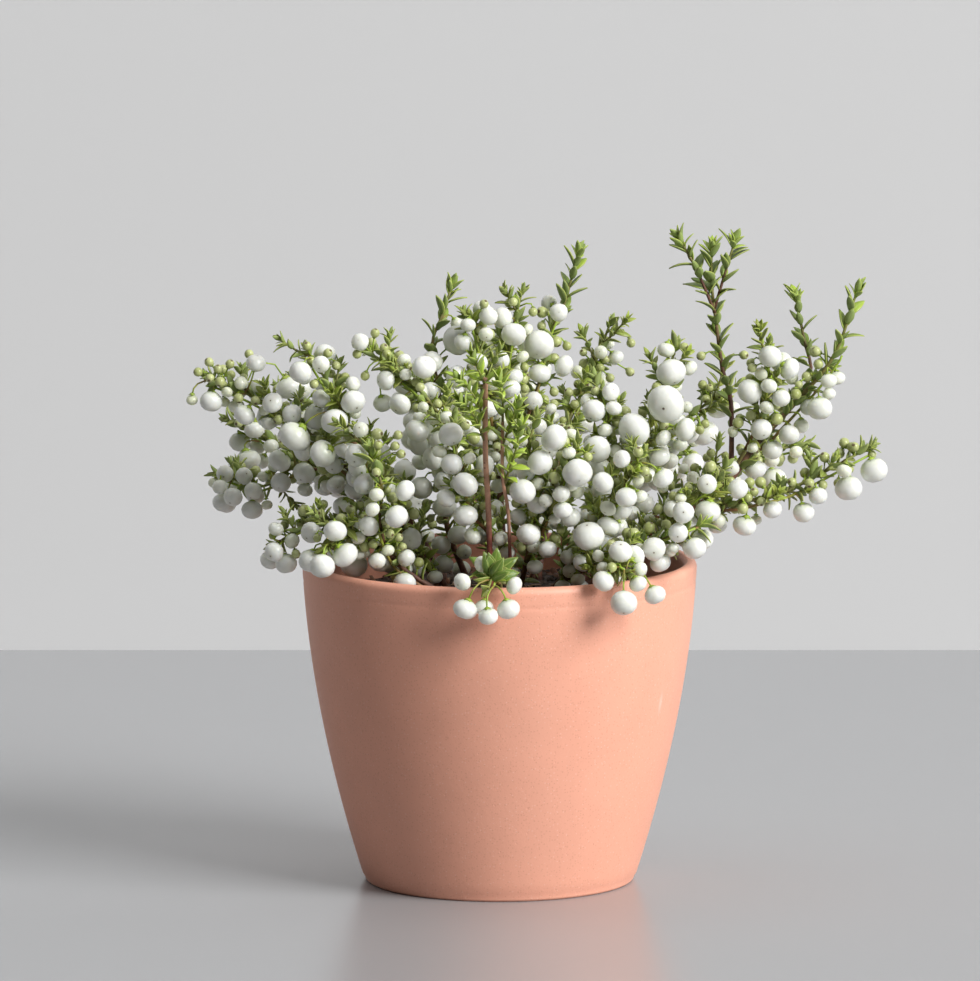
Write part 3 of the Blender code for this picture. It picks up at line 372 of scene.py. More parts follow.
# Berries where the photo shows them, as (column, row, radius) in its pixels. Those that a bunch already
# holds are passed over.
SEEN_BERRIES = (
    # Upper left
    (256, 363, 10), (241, 383, 7), (212, 393, 10), (192, 400, 6), (204, 403, 6), (273, 403, 10.5),
    (288, 389, 13), (245, 409, 11), (292, 414, 10), (297, 438, 16), (254, 430, 10.5), (319, 418, 14),
    (241, 435, 8), (257, 447, 8), (271, 446, 8),
    # Left sprigs
    (360, 342, 9), (387, 377, 10), (353, 384, 8), (353, 402, 12.5), (337, 419, 14), (326, 416, 13),
    (383, 403, 10), (402, 397, 11.5), (413, 422, 11), (426, 432, 11), (412, 439, 12), (351, 438, 9),
    (432, 362, 11), (454, 341, 15), (454, 374, 12), (454, 392, 10), (455, 408, 7.5), (460, 422, 8),
    (462, 438, 9),
    # Top centre
    (482, 310, 10), (502, 318, 11), (468, 325, 8), (456, 323, 6), (511, 337, 13), (543, 341, 15),
    (549, 303, 8.5), (516, 359, 9.5), (530, 358, 7), (472, 358, 8.5), (564, 366, 11),
    # Right
    (666, 350, 9), (669, 373, 15), (690, 368, 8), (662, 404, 18), (638, 427, 16), (616, 422, 13),
    (677, 424, 12), (687, 407, 6), (600, 445, 14), (615, 451, 7), (570, 439, 8), (568, 472, 13),
    (768, 348, 12), (781, 362, 11), (769, 386, 8.5), (772, 400, 9.5), (827, 379, 8), (829, 394, 7),
    (817, 405, 13), (792, 378, 7), (750, 392, 13), (761, 374, 7),
    # Right low spray
    (871, 465, 14), (855, 488, 12), (844, 471, 8), (814, 496, 9.5), (801, 506, 11), (768, 488, 8),
    (738, 521, 12), (756, 520, 6), (719, 521, 7), (701, 534, 9), (695, 521, 8), (707, 484, 10),
    (693, 478, 7), (655, 453, 8), (667, 455, 6), (577, 372, 7), (571, 435, 7), (523, 438, 7),
    (703, 494, 10), (705, 506, 12), (772, 460, 8), (796, 452, 7), (778, 451, 6),
    # Centre
    (456, 409, 6), (440, 449, 10), (474, 447, 8), (459, 465, 8), (470, 485, 13), (466, 502, 7),
    (480, 510, 9), (495, 508, 9), (495, 457, 6), (498, 486, 8), (525, 462, 13), (526, 472, 10),
    (545, 447, 14), (564, 473, 14), (522, 492, 14), (543, 489, 11), (527, 507, 11), (518, 517, 9),
    (560, 502, 10), (534, 524, 12), (550, 522, 7), (522, 441, 6), (534, 408, 12), (605, 479, 10),
    (596, 494, 11), (631, 470, 7), (641, 482, 8), (657, 474, 11), (666, 455, 6), (622, 497, 11),
    (634, 500, 7), (646, 504, 9), (616, 512, 9), (632, 513, 8), (677, 497, 10), (679, 511, 11),
    (663, 488, 6), (701, 497, 12), (703, 508, 12), (696, 522, 8), (698, 535, 11),
    # Left and front
    (325, 452, 15), (350, 438, 9), (358, 453, 12), (368, 446, 6), (362, 476, 12), (405, 471, 12),
    (401, 494, 11), (388, 513, 12), (418, 444, 12), (426, 436, 11), (420, 462, 9), (421, 488, 12),
    (415, 508, 12), (462, 465, 9), (345, 548, 13), (354, 564, 14), (322, 566, 13), (411, 539, 11),
    (428, 536, 7), (441, 545, 10), (458, 535, 11), (478, 534, 12), (464, 552, 8), (418, 568, 9),
    (405, 568, 8), (444, 564, 10), (461, 569, 10), (435, 577, 8),
    # Left spray in the shade
    (225, 474, 9), (214, 483, 6), (220, 487, 8), (244, 476, 9), (253, 491, 9.5), (233, 497, 10),
    (223, 505, 12), (247, 507, 11), (261, 461, 9), (279, 466, 9.5), (297, 469, 8), (305, 490, 8),
    (318, 487, 8), (267, 505, 6), (276, 529, 8), (292, 541, 8), (274, 552, 10), (289, 565, 11),
    (303, 557, 6),
    # Front rim
    (465, 606, 12), (484, 608, 10), (503, 605, 11.5), (513, 590, 9), (513, 574, 8), (467, 586, 9),
    (481, 564, 8),
    # Right rim
    (589, 531, 15), (613, 542, 12), (604, 554, 12), (582, 565, 12), (567, 554, 9), (598, 581, 11),
    (618, 572, 11), (622, 596, 13), (638, 584, 9), (636, 567, 9), (648, 596, 11),
)

# Unripe berries where the photo shows them, as (column, row)
SEEN_GREENS = (
    (257, 346), (249, 354), (209, 362), (198, 372), (230, 364), (218, 369), (223, 385), (277, 389),
    (307, 346), (311, 361), (328, 353), (314, 384), (375, 333), (372, 342), (357, 354), (387, 354),
    (365, 376), (416, 382), (420, 387), (416, 398), (419, 409), (434, 405), (443, 414), (442, 428),
    (398, 435), (484, 304), (509, 303), (533, 312), (517, 341), (567, 346), (631, 343), (692, 428),
    (794, 364), (744, 355), (752, 368), (750, 378), (772, 441), (779, 462), (759, 461), (792, 482),
    (838, 483), (754, 492), (546, 467), (656, 453), (693, 476), (378, 445), (395, 446), (401, 454),
    (405, 463), (396, 472), (393, 486), (330, 473), (296, 554), (503, 580), (537, 366), (544, 382),
    (554, 392), (533, 393), (554, 404), (549, 424), (578, 384), (590, 418), (600, 368), (610, 378),
    (630, 372), (588, 457), (629, 455), (646, 460), (684, 347), (701, 356), (706, 399), (700, 430),
    (705, 424), (765, 349), (777, 439), (757, 473), (823, 485), (694, 455), (711, 453), (676, 468),
    (717, 470), (768, 510), (527, 376),
)

ALL_BRANCHES = [(node, branch) for node, branches in STEMS.items() for branch in branches]
LADEN_BRANCHES = [(node, branch) for node, branch in ALL_BRANCHES if branch.berries or branch.marks]

# Branches with few berries of their own, and the one whose big leaves fan out over the rim
AIRY_BRANCHES = ("right_woody", "right_high", "right_low", "upright_left", "upright_centre", "left_front",
                 "front_left_twig", "back_high", "right_back")
RIM_BRANCH = "front_rim"

# Shoots without sprigs, and with broad green leaves above their berries
LEAFY_SHOOTS = ("upright_left", "upright_centre", "tall_shoot", "tall_shoot_left", "tall_shoot_right",
                "right_shoot", "right_woody", "front_left_twig", "right_brown")

# Pale spots on the pot, the first a painted highlight on its lit right side and the second a pale mark on
# the clay: middle, how much each axis counts, and size
POT_MARK_AND_HIGHLIGHT = (
    ((0.0562, -0.0316, 0.0700), (1.0, 1.0, 0.22), 0.0016),
    ((-0.0330, -0.0500, 0.0325), (0.5, 0.5, 1.6), 0.0013),
)

# How leaves look: their width to that of the blade's shape, and the share of olive in their green
MASS_LOOK = (1.0, 0.8)
SHOOT_LOOK = (1.08, 0.15)
RIM_LOOK = (1.1, 0.0)
LIME_LOOK = (1.12, 0.0)

# Steps in front of a stem, or behind it where negative, at which such a berry is tried, in millimetres
SEEN_STEPS = (1.0, 2.0, 4.0, -2.0, 6.5, -5.0)

# Lime green shoots on the bare stalks: the stalk, the share of it where they start, and knots
LIME_SHOOTS = (
    ("thin_stalk", 1.0, ((1, -60, 179), (0, -61, 186))),
    ("thin_stalk", 0.72, ((6, -62, 164), (7, -63, 171))),
    ("thin_stalk", 0.9, ((4, -62, 172), (6, -63, 178))),
    ("cut_stalk", 0.84, ((-9, -59, 181), (-14, -60, 187))),
    ("cut_stalk", 0.76, ((-9, -59, 174), (-13, -61, 179))),
    ("cut_stalk", 0.97, ((-7, -59, 189), (-9, -60, 194))),
)

# What the plant is made of. Its paths are each branch's middle line in the solids' steps, and fine ones in
# the steps used here.
Plant = namedtuple("Plant", "space leaves greens bunches more sprigs paths fine")
Leaf = namedtuple("Leaf", "node root along up length young look", defaults=(0.2, MASS_LOOK))
Green = namedtuple("Green", "node anchor centre")
Bunch = namedtuple("Bunch", "node rachis berries")
Berry = namedtuple("Berry", "anchor centre radius")
Hold = namedtuple("Hold", "node branch point pixel")
More = namedtuple("More", "node hold centre radius kind")
Sprig = namedtuple("Sprig", "node points young")


# Room and paths, as in the part's source


class Space:
    """The rods taken up so far, each from one point to another with a radius, in a node and of a kind."""

    def __init__(self, room=20000):
        self.count = 0
        self.starts = np.zeros((room, 3))
        self.ends = np.zeros((room, 3))
        self.radii = np.zeros(room)
        self.owners = np.zeros(room, int)
        self.kinds = np.zeros(room, int)
        self.names = {}

    def owner(self, node):
        return self.names.setdefault(node, len(self.names))

    def add(self, node, kind, start, end, radius):
        row = self.count
        self.starts[row] = start
        self.ends[row] = end
        self.radii[row] = radius
        self.owners[row] = self.owner(node)
        self.kinds[row] = kind
        self.count += 1

    def distances(self, start, end):
        """The distance from the rod's middle line to each rod's middle line."""
        rows = slice(0, self.count)
        p1, d1 = np.array(start), np.array(end) - np.array(start)
        p2, d2 = self.starts[rows], self.ends[rows] - self.starts[rows]
        r = p1 - p2
        a = max(d1 @ d1, 1e-12)
        e = np.maximum((d2 * d2).sum(axis=1), 1e-12)
        f = (d2 * r).sum(axis=1)
        c = r @ d1
        b = d2 @ d1
        spread = np.maximum(a * e - b * b, 1e-18)
        s = np.clip((b * f - c * e) / spread, 0, 1)
        t = (b * s + f) / e
        s = np.where(t < 0, np.clip(-c / a, 0, 1), np.where(t > 1, np.clip((b - c) / a, 0, 1), s))
        t = np.clip(t, 0, 1)
        apart = r + s[:, None] * d1 - t[:, None] * d2
        return np.sqrt((apart * apart).sum(axis=1))

    def clear(self, node, start, end, radius, ignore=()):
        """Whether the rod keeps its gap to every other rod, but for its own node's kinds in ignore."""
        if not self.count:
            return True
        rows = slice(0, self.count)
        own = self.owners[rows] == self.owner(node)
        room = self.distances(start, end) - self.radii[rows] - radius - np.where(own, OWN_GAP, NODE_GAP)
        skipped = own & np.isin(self.kinds[rows], ignore)
        return bool((room[~skipped] > 0).all())

    def gap_to(self, kinds, start, end, radius):
        """The smallest gap between a rod and all those of some kinds."""
        chosen = np.isin(self.kinds[: self.count], kinds)
        return float((self.distances(start, end) - self.radii[: self.count] - radius)[chosen].min())


def wall_radius(height):
    """The pot's outer radius at a height, along the curve from foot to rim."""
    top = POT_HEIGHT - RIM_ROUND
    a = top - 2 * BELLY_HEIGHT
    share = (-BELLY_HEIGHT + math.sqrt(BELLY_HEIGHT**2 + a * height)) / a
    rest = 1 - share
    return rest**2 * FOOT_RADIUS + 2 * rest * share * BELLY_RADIUS + share**2 * RIM_RADIUS


def clears_pot(start, end, radius):
    """Whether a rod keeps clear of the soil and of the pot's wall and rim."""
    for share in (0.0, 0.5, 1.0):
        point = start.lerp(end, share)
        low = point.z - radius - 2 * NODE_GAP
        out = math.hypot(point.x, point.y)
        if low > POT_HEIGHT:
            continue
        inside = out + radius + 2 * NODE_GAP < RIM_RADIUS - RIM_WALL
        if inside and low > SOIL_TOP + SOIL_DOME:
            continue
        if not inside and out - radius - 2 * NODE_GAP > RIM_RADIUS:
            continue
        return False
    return True


def spline(knots, step):
    """Points about a step apart on a smooth curve through the knots."""
    ends = [2 * knots[0] - knots[1]] + list(knots) + [2 * knots[-1] - knots[-2]]
    points = [knots[0]]
    for before, here, there, after in zip(ends, ends[1:], ends[2:], ends[3:]):
        parts = max(1, round((there - here).length / step))
        for part in range(1, parts + 1):
            t = part / parts
            points.append(
                0.5
                * (
                    2 * here
                    + (there - before) * t
                    + (2 * before - 5 * here + 4 * there - after) * t**2
                    + (3 * here - before - 3 * there + after) * t**3
                )
            )
    return points


def along(points, share):
    """The point at a share of a path's length, and the direction there."""
    lengths = [(b - a).length for a, b in zip(points, points[1:])]
    left = share * sum(lengths)
    for start, end, length in zip(points, points[1:], lengths):
        if left <= length or end is points[-1]:
            return start.lerp(end, min(1.0, left / length)), (end - start).normalized()
        left -= length


def in_metres(knots):
    return [Vector(knot) * MM for knot in knots]


def length_of(path):
    return sum((end - start).length for start, end in zip(path, path[1:]))


def clamp(value, low=0.0, high=1.0):
    return min(max(value, low), high)


def evenly(first, last, parts):
    """Numbers from first to last, evenly apart."""
    return [first + (last - first) * i / parts for i in range(parts + 1)]


def spiral_side(direction, turn):
    """The side of a stem that a leaf or sprig leaves it on, square to the stem, at a turn in degrees."""
    side = direction.orthogonal().normalized()
    side.rotate(Matrix.Rotation(math.radians(turn), 3, direction))
    return side


def leaf_ways(direction, turn, rise):
    """The ways that a leaf grows and faces, at a turn round its stem and a rise off it, in degrees."""
    lean = math.radians(rise)
    grow = (direction * math.cos(lean) + spiral_side(direction, turn) * math.sin(lean)).normalized()
    return grow, (direction - grow * direction.dot(grow)).normalized()


def scatter(rng, spread):
    return Vector((rng.gauss(0, spread), rng.gauss(0, spread), rng.gauss(0, spread)))


def lay_tube(plant, node, points, thick, thin):
    """Takes up the room of a tapered stem."""
    radii = evenly(thick, thin, len(points) - 1)
    for start, end, r0, r1 in zip(points, points[1:], radii, radii[1:]):
        plant.space.add(node, STEM, start, end, max(r0, r1))


# The growth rule of the part's source, with its random draws in the same order


def soil_path(root, knots, step):
    """A path that stands straight in its hole and curves off above the soil."""
    ground = Vector((root[0] * MM, root[1] * MM, SOIL_TOP + SOIL_DOME))
    foot = ground - Vector((0, 0, HOLE_DEPTH - HOLE_GAP))
    rise = ground + Vector((0, 0, 2.5 * MM))
    return [foot] + spline([rise] + in_metres(knots), step)


def hang_side(point, direction, hang):
    """The side that berries hang on, square to a stem: the one asked for, or out of the bush and down."""
    if hang:
        out = Vector(hang)
    else:
        middle = FRONT_MIDDLE if point.y < BACK_FROM else 0
        out = Vector((point.x, point.y - middle, 0)).normalized() + Vector((0, 0, -0.8))
    return (out - direction * out.dot(direction)).normalized()


def lay_rachis(plant, branch, path, radius):
    """The berries' own stalk, beside its stem over the branch's berry zone."""
    lengths = [0.0]
    for start, end in zip(path, path[1:]):
        lengths.append(lengths[-1] + (end - start).length)
    first, last = branch.zone
    shares = [first] + [x / lengths[-1] for x in lengths if first < x / lengths[-1] < last] + [last]
    offset = radius + RACHIS_RADIUS + NODE_GAP + 0.15 * MM
    points = []
    for share in shares:
        point = along(path, share)[0]
        direction = along(path, min(1.0, share + 0.02))[1] + along(path, max(0.0, share - 0.02))[1]
        points.append(point + hang_side(point, direction.normalized(), branch.hang) * offset)
    node = "berries_" + branch.name
    for start, end in zip(points, points[1:]):
        plant.space.add(node, RACHIS, start, end, RACHIS_RADIUS)
    bunch = Bunch(node, points, [])
    plant.bunches.append(bunch)
    return bunch


def hang_berry(plant, bunch, anchor, centre, radius):
    """Adds a berry where it and its stalk are clear, and says whether they were."""
    reach = (centre - anchor).normalized()
    tip = centre - reach * radius * 0.6
    start = anchor + reach * (RACHIS_RADIUS + 0.2 * MM)
    stalked = (centre - anchor).length > BERRY_SQUASH * radius + RACHIS_RADIUS / 2
    space = plant.space
    if not clears_pot(centre, centre, radius):
        return False
    if not space.clear(bunch.node, centre, centre, radius, (RACHIS,)):
        return False
    if stalked and not space.clear(bunch.node, start, tip, STALK_RADIUS, (RACHIS,)):
        return False
    space.add(bunch.node, BERRY, centre, centre, radius)
    if stalked:
        space.add(bunch.node, STALK, start, tip, STALK_RADIUS)
    bunch.berries.append(Berry(anchor, centre, radius))
    return True


def hang_mark(plant, bunch, mark):
    """A large berry at its own place, from the nearest clear point of the rachis."""
    centre = Vector(mark[:3]) * MM
    anchors = [along(bunch.rachis, i / 12)[0] for i in range(13)]
    anchors.sort(key=lambda anchor: (anchor - centre).length)
    for anchor in anchors:
        if hang_berry(plant, bunch, anchor, centre, mark[3] * MM / 2):
            return
    raise ValueError(f"no room in {bunch.node} for {mark}")


def hang_bunch(plant, bunch, branch, rng):
    """Berries by the rule: at a random place, close on the rachis, facing out of the bush."""
    hung = 0
    for _ in range(branch.berries * TRIES):
        if hung == branch.berries:
            break
        anchor, direction = along(bunch.rachis, rng.uniform(0.02, 0.98))
        loose = Vector((rng.gauss(0, 0.7), rng.gauss(0, 0.7), rng.gauss(0, 0.6)))
        reach = (hang_side(anchor, direction, branch.hang) + loose).normalized()
        radius = rng.uniform(*BERRY_RADIUS)
        centre = anchor + reach * (BERRY_SQUASH * radius + BERRY_SINK)
        hung += hang_berry(plant, bunch, anchor, centre, radius)


def sprout_greens(plant, node, path, branch, rng):
    """Unripe berries on short green stalks near the branch's end."""
    grown = 0
    for _ in range(branch.greens * TRIES):
        if grown == branch.greens:
            break
        anchor, direction = along(path, rng.uniform(0.5, 0.97))
        loose = Vector((rng.gauss(0, 1), rng.gauss(0, 1), rng.gauss(0.5, 1)))
        reach = (loose - direction * loose.dot(direction) * 0.7).normalized()
        centre = anchor + reach * (rng.uniform(*GREEN_STALK) + GREEN_RADIUS)
        tip = centre - reach * GREEN_RADIUS * 0.6
        start = anchor + reach * 1.3 * MM
        space = plant.space
        if not clears_pot(centre, centre, GREEN_RADIUS):
            continue
        if not space.clear(node, centre, centre, GREEN_RADIUS):
            continue
        if not space.clear(node, start, tip, STALK_RADIUS, (STEM,)):
            continue
        space.add(node, GREEN, centre, centre, GREEN_RADIUS)
        space.add(node, STALK, start, tip, STALK_RADIUS)
        plant.greens.append(Green(node, anchor, centre))
        grown += 1


def sprout_leaf(plant, node, root, grow, up, length):
    """Adds a leaf where it is clear."""
    width = length * LEAF_SHAPE / 2
    start, end = root + grow * length * 0.32, root + grow * (length - width * 0.6)
    if not clears_pot(start, end, width):
        return False
    if not plant.space.clear(node, start, end, width, (STEM,)):
        return False
    plant.space.add(node, LEAF, start, end, width)
    plant.leaves.append(Leaf(node, root, grow, up, length))
    return True


def sprout_leaves(plant, node, path, branch, rng):
    """Leaves in a spiral up the branch, steeper towards its tip, and one at the very tip."""
    turn = rng.uniform(0, 360)
    for i in range(branch.leaves):
        share = branch.leaf_from + (0.985 - branch.leaf_from) * i / max(1, branch.leaves - 1)
        for _ in range(8):
            turn += LEAF_TURN
            root, direction = along(path, share)
            grow, up = leaf_ways(direction, turn, rng.uniform(*LEAF_RISE) * (1.15 - 0.65 * share))
            if sprout_leaf(plant, node, root, grow, up, rng.uniform(*LEAF_LENGTH)):
                break
    tip, direction = path[-1], (path[-1] - path[-2]).normalized()
    sprout_leaf(plant, node, tip - direction * 0.5 * MM, direction, direction.orthogonal(), LEAF_LENGTH[0])


def grow_part(plant):
    """Places what the part's solids have: all stems, then berries, unripe berries and leaves."""
    bunches = {}
    for node, branch in ALL_BRANCHES:
        if branch.parent is None:
            path, fine = (soil_path(branch.start, branch.knots, step) for step in (TUBE_STEP, FINE_STEP))
        else:
            knots = [along(plant.paths[branch.parent], branch.start)[0]] + in_metres(branch.knots)
            path, fine = spline(knots, TUBE_STEP), spline(knots, FINE_STEP)
        plant.paths[branch.name] = path
        plant.fine[branch.name] = fine
        lay_tube(plant, node, path, branch.thick * MM, TIP_RADIUS)
    for node, (root, knots, radius) in BARE_STALKS.items():
        plant.fine[node] = soil_path(root, knots, FINE_STEP)
        lay_tube(plant, node, soil_path(root, knots, TUBE_STEP), radius * MM, radius * BARE_TAPER * MM)
    for _, branch in LADEN_BRANCHES:
        bunches[branch.name] = lay_rachis(plant, branch, plant.paths[branch.name], branch.thick * MM)
    for _, branch in LADEN_BRANCHES:
        for mark in branch.marks:
            hang_mark(plant, bunches[branch.name], mark)
    for order, (node, branch) in enumerate(ALL_BRANCHES):
        rng = random.Random(SEED * 1000 + order)
        if branch.berries:
            hang_bunch(plant, bunches[branch.name], branch, rng)
        sprout_greens(plant, node, plant.paths[branch.name], branch, rng)
    for order, (node, branch) in enumerate(ALL_BRANCHES):
        rng = random.Random(SEED * 2000 + order)
        first = len(plant.leaves)
        sprout_leaves(plant, node, plant.paths[branch.name], branch, rng)
        if branch.name in LEAFY_SHOOTS:
            shown = [leaf._replace(young=0.35, look=SHOOT_LOOK) for leaf in plant.leaves[first:]]
            plant.leaves[first:] = shown


# What the solids leave out: berries seen in the photo, sprigs, more berries and more leaves


def seen_at(column, row, depth):
    """The point that the camera sees at a pixel of the photo, at a depth behind the pot's axis."""
    across = (column - IMAGE_SIZE[0] / 2) * PIXEL
    up = (IMAGE_SIZE[1] / 2 - row) * PIXEL
    ray = AIM + Vector((across, 0, 0)) + LOOK_UP * up - EYE
    return EYE + ray * ((depth - EYE.y) / ray.y)


def pixel_of(point):
    """The pixel of the photo, (column, row), at which the camera sees a point."""
    ray = point - EYE
    scale = EYE_DISTANCE / ray.dot(LOOK) / PIXEL
    return IMAGE_SIZE[0] / 2 + ray.x * scale, IMAGE_SIZE[1] / 2 - ray.dot(LOOK_UP) * scale


def hold_points(plant):
    """Where more stalks can leave the stems: each as (node, branch's name, point, pixel)."""
    return [
        Hold(node, branch.name, here, pixel_of(here))
        for node, branch in ALL_BRANCHES
        for here in plant.fine[branch.name][1:-1]
        if here.z > POT_HEIGHT
    ]


def hang_more(plant, hold, centre, radius, kind):
    """Adds a berry on a stalk of its own, if it is clear and near enough to the stem that holds it."""
    reach = centre - hold.point
    node = hold.node if kind == GREEN else "berries_" + hold.branch
    if not radius < reach.length < LONGEST_STALK + radius:
        return False
    if not clears_pot(centre, centre, radius):
        return False
    space = plant.space
    if space.gap_to((BERRY, GREEN), centre, centre, radius) < -BERRY_OVERLAP:
        return False
    if space.gap_to((STEM, LEAF), centre, centre, radius) < -STEM_OVERLAP:
        return False
    space.add(node, kind, centre, centre, radius)
    plant.more.append(More(node, hold, centre, radius, kind))
    return True


def hang_seen(plant, holds, column, row, radius, kind):
    """Hangs a berry where the photo shows it, in front of the nearest stem that has room for it."""
    apart = [math.hypot(hold.pixel[0] - column, hold.pixel[1] - row) for hold in holds]
    for index in np.argsort(apart)[:60:2]:
        hold = holds[index]
        for ahead in SEEN_STEPS:
            depth = hold.point.y - math.copysign(radius, ahead) - ahead * MM
            if hang_more(plant, hold, seen_at(column, row, depth), radius, kind):
                return True
    return False


def is_held(plant, column, row, radius):
    """Whether a berry that is already there covers this place in the photo."""
    for berry in (berry for bunch in plant.bunches for berry in bunch.berries):
        there = pixel_of(berry.centre)
        if math.hypot(there[0] - column, there[1] - row) < 0.75 * max(radius, berry.radius / PIXEL):
            return True
    return False


def grow_more(plant):
    """Goes on where the part's solids stop."""
    holds = hold_points(plant)
    for column, row, radius in SEEN_BERRIES:
        if not is_held(plant, column, row, radius):
            hang_seen(plant, holds, column, row, radius * PIXEL, BERRY)
    for column, row in SEEN_GREENS:
        hang_seen(plant, holds, column, row, GREEN_RADIUS, GREEN)
    rng = random.Random(SEED * 3000)
    for node, branch in LADEN_BRANCHES:
        if branch.name not in (*LEAFY_SHOOTS, RIM_BRANCH):
            grow_sprigs(plant, node, branch, rng)
    for node, branch in LADEN_BRANCHES:
        span = length_of(plant.fine[branch.name]) * (branch.zone[1] - branch.zone[0] + 0.2)
        spacing = AIRY_SPACING if branch.name in AIRY_BRANCHES else BERRY_SPACING
        if branch.name != RIM_BRANCH:
            hang_loose(plant, node, branch, rng, BERRY, int(span / spacing))
            hang_loose(plant, node, branch, rng, GREEN, int(span / GREEN_SPACING))
    for node, branch in ALL_BRANCHES:
        if branch.name != RIM_BRANCH:
            leaf_branch(plant, node, branch, rng)
    fan_leaves(plant, rng)
    for node, share, knots in LIME_SHOOTS:
        start = along(plant.fine[node], share)[0]
        plant.sprigs.append(Sprig(node, spline([start] + in_metres(knots), SPRIG_STEP), 1.0))
    for sprig in plant.sprigs:
        leaf_sprig(plant, sprig, rng)


def grow_sprigs(plant, node, branch, rng):
    """Short side shoots, which stand out of a branch and curve up."""
    path = plant.fine[branch.name]
    count = int(length_of(path) * SPRIG_ZONE / SPRIG_SPACING)
    turn = rng.uniform(0, 360)
    for i in range(count):
        share = SPRIG_FROM + SPRIG_ZONE * (i + rng.random()) / count
        root, direction = along(path, share)
        if root.z < POT_HEIGHT - 3 * MM:
            continue
        for _ in range(10):
            turn += LEAF_TURN
            way = (direction * 0.55 + spiral_side(direction, turn) * 0.8 + Vector((0, 0, 0.4))).normalized()
            size = rng.uniform(*SPRIG_LENGTH)
            middle = root + way * size * 0.5
            tip = middle + (way + Vector((0, 0, 0.35)) + scatter(rng, 0.15)).normalized() * size * 0.5
            clear = plant.space.gap_to((BERRY, GREEN), root + way * 1.5 * MM, tip, 0.9 * MM) > 0
            if clear and clears_pot(root + way * MM, tip, 1.2 * MM):
                plant.space.add(node, STEM, root + way * MM, tip, 0.5 * MM)
                young = rng.uniform(0.15, 0.75)
                plant.sprigs.append(Sprig(node, spline([root, middle, tip], SPRIG_STEP), young))
                break


def hang_loose(plant, node, branch, rng, kind, count):
    """Hangs berries by the rule, each at a random place and side of its branch, ripe ones the lowest."""
    path = plant.fine[branch.name]
    first, last = branch.zone
    hung = 0
    for _ in range(count * LOOSE_TRIES):
        if hung == count:
            return
        point, direction = along(path, rng.uniform(max(0.2, first - 0.2), min(0.98, last)))
        if point.z < POT_HEIGHT - 2 * MM:
            continue
        if kind == BERRY:
            radius = rng.uniform(*(BERRY_RADIUS if rng.random() < FULL_SHARE else SMALL_BERRY_RADIUS))
            reach = hang_side(point, direction, branch.hang) + scatter(rng, 0.85)
        else:
            radius = GREEN_RADIUS * rng.uniform(0.85, 1.3)
            reach = Vector((0, 0, 0.5)) + scatter(rng, 0.8)
        reach = (reach - direction * reach.dot(direction) * 0.6).normalized()
        centre = point + reach * (radius + rng.uniform(*FREE_STALK))
        if kind == BERRY and centre.z < OPEN_HEIGHT and math.hypot(centre.x, centre.y) < OPEN_RADIUS:
            continue
        hung += hang_more(plant, Hold(node, branch.name, point, None), centre, radius, kind)


def leaf_branch(plant, node, branch, rng):
    """More leaves along a branch, in the same spiral, and a tuft of small young ones at its tip."""
    path = plant.fine[branch.name]
    first = max(0.2, branch.leaf_from - 0.25)
    leafy = branch.name in LEAFY_SHOOTS
    spacing, sizes, look = LEAF_SPACING, MORE_LEAF_LENGTH, MASS_LOOK
    if leafy:
        spacing, sizes, look = SHOOT_LEAF_SPACING, SHOOT_LEAF_LENGTH, SHOOT_LOOK
    count = int(length_of(path) * (0.98 - first) / spacing)
    turn = rng.uniform(0, 360)
    for i in range(count):
        share = first + (0.98 - first) * (i + rng.uniform(0.0, 0.6)) / count
        root, direction = along(path, share)
        if root.z < POT_HEIGHT - 6 * MM:
            continue
        young = max(0.35, 2.6 * share - 1.75) if leafy else max(0.0, share * 1.5 - 0.9)
        for _ in range(6):
            turn += LEAF_TURN
            rise = rng.uniform(*LEAF_RISE) * (1.2 - 0.5 * share)
            if add_fine_leaf(plant, node, root, direction, turn, rise, rng.uniform(*sizes), young, look):
                break
    add_tuft(plant, node, path, turn, SHOOT_TUFT_LENGTH if leafy else TUFT_LEAF_LENGTH, look, rng)


def leaf_sprig(plant, sprig, rng):
    """Small leaves in a spiral up a sprig, younger towards its tip."""
    count = int(length_of(sprig.points) / SPRIG_LEAF_SPACING)
    lime = sprig.young == 1.0
    sizes, look = (LIME_LEAF_LENGTH, LIME_LOOK) if lime else (SPRIG_LEAF_LENGTH, MASS_LOOK)
    turn = rng.uniform(0, 360)
    for i in range(count):
        share = 0.12 + 0.86 * i / count
        root, direction = along(sprig.points, share)
        for _ in range(3):
            turn += LEAF_TURN
            rise = rng.uniform(*LEAF_RISE) * (1.25 - 0.5 * share)
            size = rng.uniform(*sizes) * (1.1 - 0.25 * share)
            young = sprig.young + 0.3 * share
            if add_fine_leaf(plant, sprig.node, root, direction, turn, rise, size, young, look):
                break
    sizes = SHOOT_TUFT_LENGTH if lime else TUFT_LEAF_LENGTH
    add_tuft(plant, sprig.node, sprig.points, turn, sizes, look, rng)


def fan_leaves(plant, rng):
    """The big dark leaves that fan out round the end of the shoot over the rim."""
    path = plant.fine[RIM_BRANCH]
    for i in range(RIM_LEAVES):
        root = along(path, rng.uniform(0.72, 0.9))[0]
        for _ in range(12):
            lean = math.radians(-80 + 160 * i / (RIM_LEAVES - 1) + rng.gauss(0, 10))
            grow = Vector((math.sin(lean), rng.uniform(-0.75, 0.0), math.cos(lean))).normalized()
            up = Vector((0, -1, 0.4))
            up = (up - grow * up.dot(grow)).normalized()
            if add_blade(plant, RIM_BRANCH, root, grow, up, rng.uniform(*RIM_LEAF_LENGTH), 0.0, RIM_LOOK):
                break


